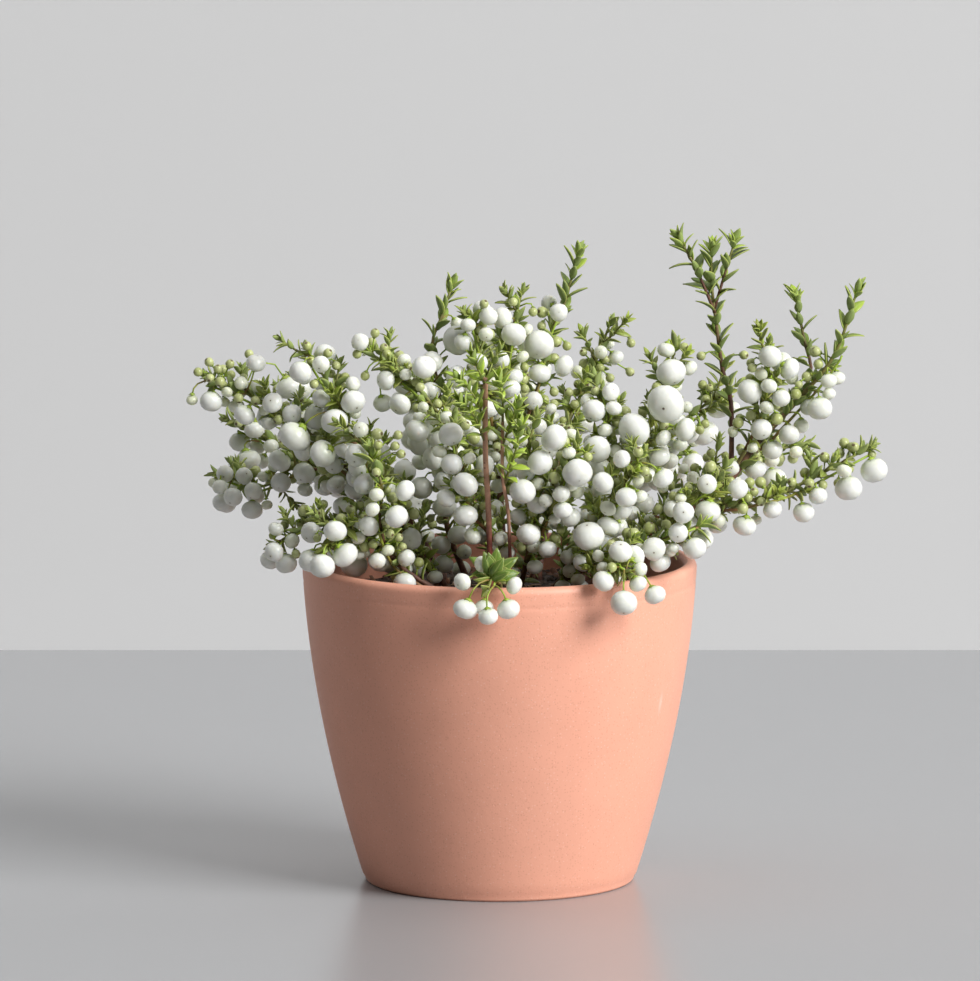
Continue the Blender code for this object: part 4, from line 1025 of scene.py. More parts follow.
def add_tuft(plant, node, path, turn, sizes, look, rng):
    """The closely set young leaves at a shoot's tip."""
    tip, direction = path[-1], (path[-1] - path[-2]).normalized()
    for i in range(TUFT_LEAVES):
        turn += LEAF_TURN
        root = tip - direction * 0.4 * i * MM
        add_fine_leaf(plant, node, root, direction, turn, 10 + 6 * i, rng.uniform(*sizes), 0.95, look)


def add_fine_leaf(plant, node, root, direction, turn, rise, length, young, look):
    """Adds a leaf at a turn round its stem, if it has room."""
    grow, up = leaf_ways(direction, turn, rise)
    return add_blade(plant, node, root, grow, up, length, young, look)


def add_blade(plant, node, root, grow, up, length, young, look):
    """Adds a leaf that grows and faces given ways, if it runs through no berry and not into the pot."""
    start, end = root + grow * length * 0.25, root + grow * length * 0.95
    if not clears_pot(start, end, 0.3 * MM):
        return False
    if plant.space.gap_to((BERRY, GREEN), start, end, 0.4 * MM) < -LEAF_OVERLAP:
        return False
    plant.leaves.append(Leaf(node, root, grow, up, length, young, look))
    return True


@lru_cache(maxsize=1)
def whole_plant():
    """The whole plant, grown once: the part's own pieces first, then the rest."""
    plant = Plant(Space(), [], [], [], [], [], {}, {})
    grow_part(plant)
    grow_more(plant)
    return plant


# Finishes


class Nodes:
    """A short way to add and join the nodes of one material or node group."""

    def __init__(self, tree):
        self.tree = tree

    def put(self, socket, value):
        """Links an input to another node's output, or else sets it."""
        if isinstance(value, bpy.types.NodeSocket):
            self.tree.links.new(value, socket)
        else:
            socket.default_value = value

    def add(self, kind, inputs=None, **settings):
        """Adds a node, with its settings and then its inputs."""
        made = self.tree.nodes.new(kind)
        for name, value in settings.items():
            setattr(made, name, value)
        for name, value in (inputs or {}).items():
            self.put(made.inputs[name], value)
        return made

    def math(self, operation, first, second=0.0):
        return self.add("ShaderNodeMath", {0: first, 1: second}, operation=operation).outputs[0]

    def ramp(self, value, low, high, to_low=0.0, to_high=1.0):
        """A value moved smoothly from one range to another."""
        inputs = {"Value": value, "From Min": low, "From Max": high, "To Min": to_low, "To Max": to_high}
        return self.add("ShaderNodeMapRange", inputs, interpolation_type="SMOOTHSTEP").outputs["Result"]

    def mix(self, share, first, second):
        """A colour between two others."""
        return self.add("ShaderNodeMix", {0: share, 6: first, 7: second}, data_type="RGBA").outputs[2]


def new_group(name, inputs, outputs):
    """An empty shader node group with named sockets. An input is a vector, or is as its default is."""
    made = bpy.data.node_groups.new(name, "ShaderNodeTree")
    for label, default in inputs.items():
        kind = "Vector" if default is None else "Color" if isinstance(default, tuple) else "Float"
        socket = made.interface.new_socket(label, in_out="INPUT", socket_type="NodeSocket" + kind)
        if default is not None:
            socket.default_value = default
    for label, kind in outputs.items():
        made.interface.new_socket(label, in_out="OUTPUT", socket_type="NodeSocket" + kind)
    nodes = Nodes(made)
    return made, nodes, nodes.add("NodeGroupInput").outputs, nodes.add("NodeGroupOutput").inputs


@lru_cache(maxsize=1)
def mottling():
    """A group that wanders between two colours, in soft patches of one size with finer ones in them."""
    inputs = {"Vector": None, "Scale": 50.0, "Spread": 0.2, "Dark": (0, 0, 0, 1), "Light": (1, 1, 1, 1)}
    group, nodes, given, out = new_group("mottling", inputs, {"Color": "Color", "Mask": "Float"})
    noise_inputs = {"Vector": given["Vector"], "Scale": given["Scale"], "Detail": 5.0, "Roughness": 0.6}
    spots = nodes.add("ShaderNodeTexNoise", noise_inputs).outputs["Fac"]
    low = nodes.math("SUBTRACT", 0.5, given["Spread"])
    high = nodes.math("ADD", 0.5, given["Spread"])
    mask = nodes.ramp(spots, low, high)
    nodes.put(out["Mask"], mask)
    nodes.put(out["Color"], nodes.mix(mask, given["Dark"], given["Light"]))
    return group


@lru_cache(maxsize=1)
def specks():
    """A group that puts a small dot in some cells of a pattern: 1 in a dot and 0 elsewhere."""
    inputs = {"Vector": None, "Scale": 500.0, "Size": 0.3, "Share": 0.4}
    group, nodes, given, out = new_group("specks", inputs, {"Mask": "Float"})
    cells = nodes.add("ShaderNodeTexVoronoi", {"Vector": given["Vector"], "Scale": given["Scale"]}).outputs
    edge = nodes.math("MULTIPLY", given["Size"], 0.45)
    dot = nodes.ramp(cells["Distance"], edge, given["Size"], 1.0, 0.0)
    drawn = nodes.add("ShaderNodeSeparateColor", {"Color": cells["Color"]}).outputs["Red"]
    chosen = nodes.math("LESS_THAN", drawn, given["Share"])
    nodes.put(out["Mask"], nodes.math("MULTIPLY", dot, chosen))
    return group


@lru_cache(maxsize=1)
def relief():
    """A group that gives a rough surface's height: swells of one size with a fine grain on them."""
    inputs = {"Vector": None, "Coarse": 100.0, "Fine": 900.0, "Grain": 0.5}
    group, nodes, given, out = new_group("relief", inputs, {"Height": "Float"})
    coarse = {"Vector": given["Vector"], "Scale": given["Coarse"], "Detail": 3.0}
    swell = nodes.add("ShaderNodeTexNoise", coarse).outputs["Fac"]
    fine = {"Vector": given["Vector"], "Scale": given["Fine"], "Detail": 4.0, "Roughness": 0.65}
    grain = nodes.add("ShaderNodeTexNoise", fine).outputs["Fac"]
    nodes.put(out["Height"], nodes.math("ADD", swell, nodes.math("MULTIPLY", grain, given["Grain"])))
    return group


@lru_cache(maxsize=1)
def smudge():
    """A group that marks a soft spot round a point, stretched along the axes."""
    inputs = {"Vector": None, "Middle": None, "Stretch": None, "Size": 0.002}
    group, nodes, given, out = new_group("smudge", inputs, {"Mask": "Float"})
    kind = "ShaderNodeVectorMath"
    apart = nodes.add(kind, {0: given["Vector"], 1: given["Middle"]}, operation="SUBTRACT").outputs[0]
    drawn = nodes.add(kind, {0: apart, 1: given["Stretch"]}, operation="MULTIPLY").outputs[0]
    away = nodes.add(kind, {0: drawn}, operation="LENGTH").outputs["Value"]
    nodes.put(out["Mask"], nodes.ramp(away, 0.0, given["Size"], 1.0, 0.0))
    return group


def solid(colour):
    """A colour with full alpha."""
    return (*colour, 1.0)


def darker(colour, share):
    return [part * share for part in colour]


class Surface(Nodes):
    """A material with its Principled shader, and the shared effects on the piece's own coordinates."""

    def __init__(self, name):
        self.material = bpy.data.materials.new(name)
        self.material.use_nodes = True
        super().__init__(self.material.node_tree)
        self.shader = self.tree.nodes["Principled BSDF"]
        self.place = self.add("ShaderNodeTexCoord").outputs["Object"]

    def effect(self, group, **inputs):
        """Places a shared effect with its own values."""
        return self.add("ShaderNodeGroup", {"Vector": self.place, **inputs}, node_tree=group).outputs

    def mottled(self, scale, spread, dark=(0, 0, 0), light=(1, 1, 1)):
        return self.effect(mottling(), Scale=scale, Spread=spread, Dark=solid(dark), Light=solid(light))

    def dotted(self, scale, size, share):
        return self.effect(specks(), Scale=scale, Size=size, Share=share)["Mask"]

    def rough(self, coarse, fine, grain):
        return self.effect(relief(), Coarse=coarse, Fine=fine, Grain=grain)["Height"]

    def value(self, name):
        """One of the values that the vertices hold."""
        return self.add("ShaderNodeAttribute", attribute_name=name).outputs["Fac"]

    def tint(self, colour, mask, strength, other):
        """A colour moved towards another where a mask is 1, by a strength."""
        return self.mix(self.math("MULTIPLY", mask, strength), colour, solid(other))

    def finish(self, colour, roughness, height=None, strength=1.0, distance=MM):
        """Joins the colour, the roughness and a height, through a Bump node, to the shader."""
        self.put(self.shader.inputs["Base Color"], colour)
        self.put(self.shader.inputs["Roughness"], roughness)
        if height is not None:
            values = {"Height": height, "Strength": strength, "Distance": distance}
            bump = self.add("ShaderNodeBump", values)
            self.put(self.shader.inputs["Normal"], bump.outputs["Normal"])
        return self.material


def terracotta_material(settings):
    """Fired clay: mottled and chalky in patches, with grains, pores, a pale mark and a painted highlight,
    and darker inside with damp and painted shade.
    """
    look = Surface("terracotta")
    colour = look.mottled(60.0, 0.4, darker(settings.clay, 0.93), settings.clay)["Color"]
    colour = look.tint(colour, look.mottled(12.0, 0.3)["Mask"], 0.12, (0.88, 0.52, 0.40))
    colour = look.tint(colour, look.dotted(1100.0, 0.40, 0.45), 0.24, (0.46, 0.16, 0.09))
    colour = look.tint(colour, look.dotted(900.0, 0.34, 0.30), 0.32, (0.95, 0.62, 0.50))
    # The first spot is a painted highlight on the lit side, the second a pale mark on the clay
    for middle, stretch, size in POT_MARK_AND_HIGHLIGHT:
        mark = look.effect(smudge(), Middle=middle, Stretch=stretch, Size=size)["Mask"]
        colour = look.tint(colour, mark, 0.5, (0.95, 0.75, 0.66))
    # Darker clay inside the pot: painted shade in its hollow, and the damp clay's own colour
    colour = look.tint(colour, look.value("young"), 0.75, settings.shade_and_damp_clay)
    height = look.math("SUBTRACT", look.rough(260.0, 1500.0, 0.8), look.dotted(520.0, 0.22, 0.10))
    return look.finish(colour, 0.5, height, 0.45, 0.14 * MM)


def soil_material(settings):
    """Damp composted bark and peat."""
    look = Surface("soil")
    colour = look.mottled(260.0, 0.16, darker(settings.soil, 0.3), settings.soil)["Color"]
    colour = look.tint(colour, look.dotted(430.0, 0.3, 0.18), 0.6, (0.13, 0.060, 0.028))
    colour = look.tint(colour, look.value("tone"), 0.35, (0.09, 0.05, 0.03))
    return look.finish(colour, 0.85, look.rough(420.0, 1300.0, 0.9), 0.8, 0.6 * MM)


def chip_material():
    """Reddish bark chips in the soil."""
    look = Surface("bark_chip")
    colour = look.mottled(300.0, 0.2, (0.05, 0.02, 0.012), (0.20, 0.075, 0.035))["Color"]
    colour = look.tint(colour, look.value("tone"), 0.5, (0.26, 0.15, 0.09))
    return look.finish(colour, 0.8, look.rough(500.0, 1600.0, 0.6), 0.5, 0.25 * MM)


def root_material():
    """Thin tan roots on the soil."""
    look = Surface("root")
    colour = look.mottled(500.0, 0.2, (0.16, 0.085, 0.045), (0.42, 0.28, 0.17))["Color"]
    return look.finish(colour, 0.75, look.rough(900.0, 2500.0, 0.5), 0.4, 0.08 * MM)


def bark_like(name, old_dark, old_light, fresh, fresh_from, roughness):
    """Bark that is old at a stem's foot and fresh at its tip, with small raised scars."""
    look = Surface(name)
    old = look.mottled(320.0, 0.22, old_dark, old_light)["Color"]
    new = look.mottled(240.0, 0.3, darker(fresh, 0.6), fresh)["Color"]
    colour = look.mix(look.ramp(look.value("young"), *fresh_from), old, new)
    scars = look.dotted(520.0, 0.3, 0.3)
    colour = look.tint(colour, scars, 0.55, darker(old_dark, 0.45))
    height = look.math("ADD", look.rough(700.0, 2200.0, 0.6), scars)
    return look.finish(colour, roughness, height, 0.5, 0.15 * MM)


def bark_material(settings):
    """The leafy twigs: red-brown below and yellow-green at their tips."""
    return bark_like("bark", (0.060, 0.022, 0.014), settings.bark, (0.30, 0.33, 0.08), (0.3, 0.95), 0.6)


def bare_stalk_material(settings):
    """The cut stalks: maroon below and salmon above."""
    old = ((0.10, 0.022, 0.016), (0.26, 0.07, 0.045))
    return bark_like("bare_stalk", *old, settings.bare_stalk, (0.25, 0.5), 0.55)


def stalk_material(settings):
    """The berries' stalks and collars: reddish where they leave the stem, yellow-green at the berry."""
    look = Surface("berry_stalk")
    red = look.mottled(400.0, 0.2, (0.16, 0.06, 0.03), (0.34, 0.17, 0.07))["Color"]
    green = look.mottled(350.0, 0.25, darker(settings.young_leaf, 0.6), settings.young_leaf)["Color"]
    share = look.math("ADD", look.value("young"), look.math("MULTIPLY", look.value("tone"), 0.3))
    colour = look.mix(look.ramp(share, 0.35, 1.0), red, green)
    return look.finish(colour, 0.5, look.rough(900.0, 2600.0, 0.5), 0.3, 0.08 * MM)


def leaf_material(settings):
    """A leathery leaf: glossy above with a pale midrib, faint veins and a pale edge, and dull beneath."""
    look = Surface("leaf")
    blade = look.add("ShaderNodeUVMap", uv_map="blade").outputs["UV"]
    parts = look.add("ShaderNodeSeparateXYZ", {"Vector": blade}).outputs
    under = look.math("GREATER_THAN", parts["X"], 1.5)
    side = look.math("MULTIPLY", look.math("ABSOLUTE", look.math("SUBTRACT", parts["Y"], 0.5)), 2.0)
    rib = look.ramp(side, 0.03, 0.20, 1.0, 0.0)
    edge = look.ramp(side, 0.80, 0.98)
    slope = look.math("SUBTRACT", look.math("MULTIPLY", parts["X"], 7.0), look.math("MULTIPLY", side, 1.3))
    vein = look.ramp(look.math("PINGPONG", slope, 0.5), 0.0, 0.09, 1.0, 0.0)
    colour = look.mottled(210.0, 0.3, darker(settings.leaf, 0.6), settings.leaf)["Color"]
    colour = look.tint(colour, look.value("tone"), 0.6, [part * 1.9 + 0.02 for part in settings.leaf])
    colour = look.mix(look.ramp(look.value("young"), 0.2, 1.0), colour, solid(settings.young_leaf))
    colour = look.tint(colour, look.value("olive"), 0.75, settings.olive_leaf)
    colour = look.tint(colour, vein, 0.16, (0.30, 0.40, 0.13))
    colour = look.tint(colour, rib, 0.55, (0.38, 0.46, 0.12))
    colour = look.tint(colour, edge, 0.50, (0.44, 0.46, 0.13))
    colour = look.tint(colour, under, 0.7, (0.25, 0.32, 0.11))
    grooves = look.math("ADD", look.math("MULTIPLY", rib, 0.8), look.math("MULTIPLY", vein, 0.3))
    grain = look.math("MULTIPLY", look.rough(900.0, 2600.0, 0.4), 0.4)
    gloss = look.ramp(under, 0.0, 1.0, 0.36, 0.62)
    return look.finish(colour, gloss, look.math("SUBTRACT", grain, grooves), 0.45, 0.12 * MM)


def berry_material(settings):
    """A white berry: waxy, faintly mottled, greenish at its collar, with the dark scar at its free end."""
    look = Surface("white_berry")
    shade = [part * share for part, share in zip(settings.berry, (0.92, 0.93, 0.88))]
    colour = look.mottled(330.0, 0.3, shade, settings.berry)["Color"]
    pole = look.value("pole")
    tone = look.value("tone")
    colour = look.tint(colour, look.ramp(pole, 0.55, 0.95), 0.55, (0.56, 0.63, 0.36))
    colour = look.tint(colour, look.ramp(tone, 0.55, 1.0), 0.15, (0.70, 0.73, 0.55))
    colour = look.tint(colour, look.value("young"), 0.6, (0.66, 0.70, 0.42))
    colour = look.tint(colour, look.dotted(900.0, 0.22, 0.12), 0.2, (0.55, 0.50, 0.38))
    marked = look.ramp(tone, 0.1, 0.6, 0.25, 0.95)
    colour = look.tint(colour, look.ramp(pole, 0.03, 0.10, 0.22, 0.0), marked, (0.50, 0.50, 0.34))
    colour = look.tint(colour, look.ramp(pole, 0.012, 0.032, 1.0, 0.0), marked, (0.10, 0.055, 0.03))
    look.put(look.shader.inputs["Subsurface Weight"], 0.85)
    look.put(look.shader.inputs["Subsurface Radius"], (1.0, 0.94, 0.85))
    look.put(look.shader.inputs["Subsurface Scale"], 3.2 * MM)
    return look.finish(colour, 0.28, look.rough(500.0, 1900.0, 0.3), 0.12, 0.10 * MM)


def unripe_material(settings):
    """An unripe berry: yellow-green and glossy, with a dark tip."""
    look = Surface("unripe_berry")
    colour = look.mottled(450.0, 0.3, darker(settings.unripe, 0.7), settings.unripe)["Color"]
    colour = look.tint(colour, look.value("tone"), 0.4, (0.62, 0.64, 0.36))
    tip = look.ramp(look.value("pole"), 0.06, 0.16, 0.9, 0.0)
    colour = look.mix(tip, colour, solid((0.08, 0.035, 0.02)))
    return look.finish(colour, 0.32, look.rough(800.0, 2400.0, 0.4), 0.15, 0.08 * MM)


def stage_material(name, colour, roughness):
    """A plain surface with the faintest unevenness."""
    look = Surface(name)
    return look.finish(look.mottled(3.0, 0.4, darker(colour, 0.985), colour)["Color"], roughness)


def open_behind(material):
    """Lets a sheet be seen through from behind, so that the wall hides nothing in a view from there."""
    nodes = Nodes(material.node_tree)
    back = nodes.add("ShaderNodeNewGeometry").outputs["Backfacing"]
    clear = nodes.add("ShaderNodeBsdfTransparent").outputs["BSDF"]
    shown = nodes.tree.nodes["Principled BSDF"].outputs["BSDF"]
    both = nodes.add("ShaderNodeMixShader", {0: back, 1: shown, 2: clear}).outputs[0]
    nodes.put(nodes.tree.nodes["Material Output"].inputs["Surface"], both)
    return material


# Shapes and pieces


def facing(direction, origin):
    """A matrix that puts local Z along a direction at an origin."""
    return Matrix.Translation(origin) @ direction.to_track_quat("Z", "Y").to_matrix().to_4x4()


def finished(name, bm, materials, replaced=()):
    """Makes a bmesh the piece of that name, riding on the frame's one body."""
    mesh = as_shape(name, bm)
    mesh.polygons.foreach_set("use_smooth", [True] * len(mesh.polygons))
    piece = bpy.data.objects.new(name, mesh)
    bpy.context.scene.collection.objects.link(piece)
    for material in materials:
        mesh.materials.append(material)
    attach(piece, "root")
    if replaced:
        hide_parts(*replaced)
    return piece


def as_shape(name, bm):
    """Makes a bmesh a mesh, for a piece or as a shape that is stamped many times."""
    mesh = bpy.data.meshes.new(name)
    bm.to_mesh(mesh)
    bm.free()
    return mesh


def of_node(things, node):
    """Those of the plant's things that belong to a node."""
    return [thing for thing in things if thing.node == node]


def new_mesh():
    """An empty bmesh with the values that the plant's materials read."""
    bm = bmesh.new()
    for name in ("tone", "young", "pole", "olive"):
        bm.verts.layers.float.new(name)
    bm.loops.layers.uv.new("blade")
    return bm


def set_values(bm, verts, **values):
    """Sets the same values on each of these vertices."""
    for name, value in values.items():
        layer = bm.verts.layers.float[name]
        for vert in verts:
            vert[layer] = value


def stamp(bm, shape, matrix, **values):
    """Adds a copy of a modelled shape, placed by a matrix, with its own values."""
    first = len(bm.verts)
    bm.from_mesh(shape)
    bm.verts.ensure_lookup_table()
    made = bm.verts[first:]
    bmesh.ops.transform(bm, matrix=matrix, verts=made)
    set_values(bm, made, **values)


def add_tube(bm, points, radii, sides, material=0, young=(0.0, 0.0), tone=0.5):
    """Adds a round tapered tube: a circle, extruded from point to point and closed at both ends."""
    tube = new_mesh()
    ways = [(after - before).normalized() for before, after in zip(points, points[1:])]
    ways = [ways[0]] + [(a + b).normalized() for a, b in zip(ways, ways[1:])] + [ways[-1]]
    turn = ways[0].to_track_quat("Z", "Y")
    place = Matrix.Translation(points[0]) @ turn.to_matrix().to_4x4() @ Matrix.Scale(radii[0], 4)
    verts = bmesh.ops.create_circle(tube, cap_ends=True, segments=sides, radius=1.0, matrix=place)["verts"]
    set_values(tube, verts, young=young[0], tone=tone)
    edges = tube.edges[:]
    for i in range(1, len(points)):
        turn = ways[i - 1].rotation_difference(ways[i]) @ turn
        there = Matrix.Translation(points[i]) @ turn.to_matrix().to_4x4() @ Matrix.Scale(radii[i], 4)
        made = bmesh.ops.extrude_edge_only(tube, edges=edges)["geom"]
        verts = [part for part in made if isinstance(part, bmesh.types.BMVert)]
        edges = [edge for edge in made if isinstance(edge, bmesh.types.BMEdge)
                 and edge.verts[0] in verts and edge.verts[1] in verts]
        bmesh.ops.transform(tube, matrix=there @ place.inverted(), verts=verts)
        share = i / (len(points) - 1)
        set_values(tube, verts, young=young[0] + (young[1] - young[0]) * share, tone=tone)
        place = there
    bmesh.ops.edgeloop_fill(tube, edges=edges)
    for face in tube.faces:
        face.material_index = material
    bmesh.ops.recalc_face_normals(tube, faces=tube.faces[:])
    shape = as_shape("tube", tube)
    bm.from_mesh(shape)
    bpy.data.meshes.remove(shape)


def bow(start, end, hang, parts):
    """Points on a bent stalk that leaves its stem and comes into its berry along the way it hangs."""
    middle = end - hang * (end - start).length * 0.6
    return [start * (1 - t) ** 2 + middle * 2 * t * (1 - t) + end * t * t for t in evenly(0, 1, parts)]


def blade_width(share):
    """Half a leaf's width at a share of its length, as a share of its greatest half width."""
    return max(0.05, 3.45 * share**0.8 * (1 - share) ** 0.98)


@lru_cache(maxsize=8)
def blade_shape(arch, fold, twist):
    """A leaf of length 1 along X: a grid drawn in to a pointed oval, arched, folded and made solid."""
    bm = new_mesh()
    bmesh.ops.create_grid(bm, x_segments=5, y_segments=2, size=0.5)
    for vert in bm.verts:
        share, across = vert.co.x + 0.5, vert.co.y * 2
        width = blade_width(share) * BLADE_SHAPE / 2
        lift = -arch * share * share + fold * abs(across) * width + twist * across * width * share
        vert.co = (share, across * width, lift)
    bmesh.ops.solidify(bm, geom=bm.faces[:], thickness=BLADE_THICKNESS)
    bmesh.ops.recalc_face_normals(bm, faces=bm.faces[:])
    uv = bm.loops.layers.uv["blade"]
    for face in bm.faces:
        under = 2.0 if face.normal.z < 0 else 0.0
        for loop in face.loops:
            share = clamp(loop.vert.co.x)
            across = loop.vert.co.y / (blade_width(share) * BLADE_SHAPE / 2)
            loop[uv].uv = (share + under, 0.5 + 0.5 * clamp(across, -1.0))
    return as_shape("blade", bm)


@lru_cache(maxsize=8)
def berry_shape(lobes, depth, squash):
    """A berry of radius 1 with its free end up: a ball, pressed flat, with faint lobes and a dimple."""
    bm = new_mesh()
    bmesh.ops.create_uvsphere(bm, u_segments=14, v_segments=8, radius=1.0)
    pole = bm.verts.layers.float["pole"]
    for vert in bm.verts:
        angle = math.acos(clamp(vert.co.z, -1.0))
        vert[pole] = angle / math.pi
        swell = 1 + depth * math.sin(angle) * math.cos(lobes * math.atan2(vert.co.y, vert.co.x))
        dimple = 0.10 * math.exp(-((angle / 0.32) ** 2))
        dimple += 0.05 * math.exp(-(((math.pi - angle) / 0.3) ** 2))
        vert.co = (vert.co.x * swell, vert.co.y * swell, vert.co.z * squash * (1 - dimple))
    return as_shape("berry", bm)


@lru_cache(maxsize=1)
def calyx_shape():
    """The five-lobed collar under a berry of radius 1: a flat cone whose rim goes in and out."""
    bm = new_mesh()
    cone = bmesh.ops.create_cone(bm, cap_ends=True, segments=10, radius1=0.16, radius2=0.5, depth=0.16)
    rim = [vert for vert in cone["verts"] if vert.co.z > 0]
    for i, vert in enumerate(sorted(rim, key=lambda vert: math.atan2(vert.co.y, vert.co.x))):
        if i % 2:
            vert.co = (vert.co.x * 0.55, vert.co.y * 0.55, vert.co.z)
        else:
            vert.co.z += 0.08
    for face in bm.faces:
        face.material_index = 1
    bmesh.ops.translate(bm, verts=bm.verts[:], vec=(0, 0, -BERRY_SQUASH * 0.99))
    return as_shape("calyx", bm)


def pot_radius(height, band):
    """The pot's outer radius, with a turned line of the depth given below the rim."""
    return wall_radius(height) - band * math.exp(-(((height - BAND_HEIGHT) / (0.7 * MM)) ** 2))


def inner_radius(height):
    """The radius of the pot's inside at a height."""
    top = POT_HEIGHT - RIM_ROUND
    return wall_radius(height) - FOOT_WALL + (FOOT_WALL - RIM_WALL) * height / top


def arc(middle, radius, first, last, parts):
    """Points (radius, height) round a middle, from one angle to another in degrees."""
    angles = [math.radians(angle) for angle in evenly(first, last, parts)]
    return [(middle[0] + radius * math.cos(a), middle[1] + radius * math.sin(a)) for a in angles]


def pot_profile(band):
    """The pot's section as (radius, height), from the middle of its floor over the rim to the foot."""
    top = POT_HEIGHT - RIM_ROUND
    profile = [(0, FLOOR_THICKNESS), (inner_radius(FLOOR_THICKNESS) - 4 * MM, FLOOR_THICKNESS)]
    profile += [(inner_radius(height), height) for height in evenly(FLOOR_THICKNESS + 4 * MM, top - MM, 16)]
    profile += arc((RIM_RADIUS - RIM_WALL + RIM_ROUND, top), RIM_ROUND, 180, 90, 6)
    profile += arc((RIM_RADIUS - RIM_ROUND, top), RIM_ROUND, 90, 0, 6)[1:]
    outside = evenly(top - MM, 105 * MM, 12) + evenly(102 * MM, 3 * MM, 26)
    profile += [(pot_radius(height, band), height) for height in outside]
    profile += arc((FOOT_RADIUS - FOOT_ROUND, FOOT_ROUND), FOOT_ROUND, 0, -90, 6)
    return profile + [(0, 0)]


def turned(profile, steps):
    """A bmesh of a profile of (radius, height) points, spun round the Z axis and closed."""
    bm = new_mesh()
    line = [bm.verts.new((radius, 0, height)) for radius, height in profile]
    edges = [bm.edges.new(pair) for pair in zip(line, line[1:])]
    bmesh.ops.spin(bm, geom=line + edges, cent=(0, 0, 0), axis=(0, 0, 1), angle=2 * math.pi,
                   steps=steps, use_merge=True)
    bmesh.ops.remove_doubles(bm, verts=bm.verts[:], dist=0.001 * MM)
    bmesh.ops.recalc_face_normals(bm, faces=bm.faces[:])
    return bm


def build_pot(settings):
    """The terracotta pot, with its inside marked so that the clay there can be darker: painted shade in its
    hollow, and damp clay.
    """
    bm = turned(pot_profile(settings.band_depth), settings.steps)
    for vert in bm.verts:
        inside = pot_radius(min(vert.co.z, BAND_HEIGHT), settings.band_depth) - 0.6 * RIM_WALL
        if vert.co.z > FLOOR_THICKNESS - MM and math.hypot(vert.co.x, vert.co.y) < inside:
            set_values(bm, [vert], young=1.0)
    finished("terracotta_pot", bm, [terracotta_material(settings)], ("pot",))


def soil_height(out):
    """The soil's height at a distance from the axis: a low dome that falls off towards the pot."""
    return SOIL_TOP + SOIL_DOME * (1 - 1.9 * (out / (RIM_RADIUS - RIM_WALL)) ** 2)


def build_soil(settings):
    """The soil: a solid with a crumbled top, scattered crumbs and chips, and a few thin roots."""
    edge = inner_radius(SOIL_TOP) - 0.2 * MM
    bottom = FLOOR_THICKNESS + SOIL_GAP
    profile = [(out, soil_height(out)) for out in evenly(0, edge, 26)]
    sides = (88 * MM, 60 * MM, 35 * MM, 12 * MM)
    profile += [(inner_radius(height) - SOIL_GAP, height) for height in sides]
    profile += [(inner_radius(FLOOR_THICKNESS) - 6 * MM, bottom), (0, bottom)]
    bm = new_mesh()
    bm.from_mesh(as_shape("soil", turned(profile, 110)))
    for vert in bm.verts:
        if vert.co.z > SOIL_TOP - 4 * MM and math.hypot(vert.co.x, vert.co.y) < edge - 0.5 * MM:
            coarse = noise.fractal(vert.co * 130, 1.0, 2.0, 3)
            vert.co.z += settings.ripple * (coarse + 0.5 * noise.noise(vert.co * 620))
    rng = random.Random(SEED * 4000)
    for i in range(settings.crumbs):
        out, angle = (edge - 2 * MM) * math.sqrt(rng.random()), rng.uniform(0, 2 * math.pi)
        place = Vector((out * math.cos(angle), out * math.sin(angle), soil_height(out) + 0.3 * MM))
        turn = Matrix.Rotation(rng.uniform(0, 6), 4, Vector((rng.random(), rng.random(), rng.random())))
        chip = i % 5 == 0
        size = Vector((rng.uniform(0.8, 2.6), rng.uniform(0.5, 1.3), rng.uniform(0.3, 0.7))) * 1.6
        if not chip:
            size = Vector((1, rng.uniform(0.7, 1), rng.uniform(0.6, 1))) * rng.uniform(0.5, 1.7)
        matrix = Matrix.Translation(place) @ turn @ Matrix.Diagonal((*(size * MM), 1))
        stamp(bm, crumb_shape(i % 3, int(chip)), matrix, tone=rng.random())
    for _ in range(settings.roots):
        out, heading = edge * rng.uniform(0, 0.85), rng.uniform(0, 2 * math.pi)
        point = Vector((out * math.cos(heading), out * math.sin(heading), 0))
        way = rng.uniform(0, 2 * math.pi)
        points = []
        for _ in range(9):
            if math.hypot(point.x, point.y) > edge - 1.5 * MM:
                break
            lift = soil_height(math.hypot(point.x, point.y)) + rng.uniform(0.1, 1.0) * MM
            points.append(Vector((point.x, point.y, lift)))
            way += rng.gauss(0, 0.5)
            point = point + Vector((math.cos(way), math.sin(way), 0)) * 2.6 * MM
        if len(points) > 2:
            add_tube(bm, points, evenly(*ROOT_RADII, len(points) - 1), 5, 2)
    materials = [soil_material(settings), chip_material(), root_material()]
    finished("soil_surface", bm, materials, ("potting_soil",))


@lru_cache(maxsize=6)
def crumb_shape(kind, material):
    """A rough crumb of radius 1: a small ball with its corners pushed in and out."""
    bm = new_mesh()
    bmesh.ops.create_icosphere(bm, subdivisions=1, radius=1.0)
    for vert in bm.verts:
        vert.co *= 1 + 0.45 * noise.noise(vert.co * 1.7 + Vector((kind * 9.1, 0, 0)))
    for face in bm.faces:
        face.material_index = material
    return as_shape("crumb", bm)


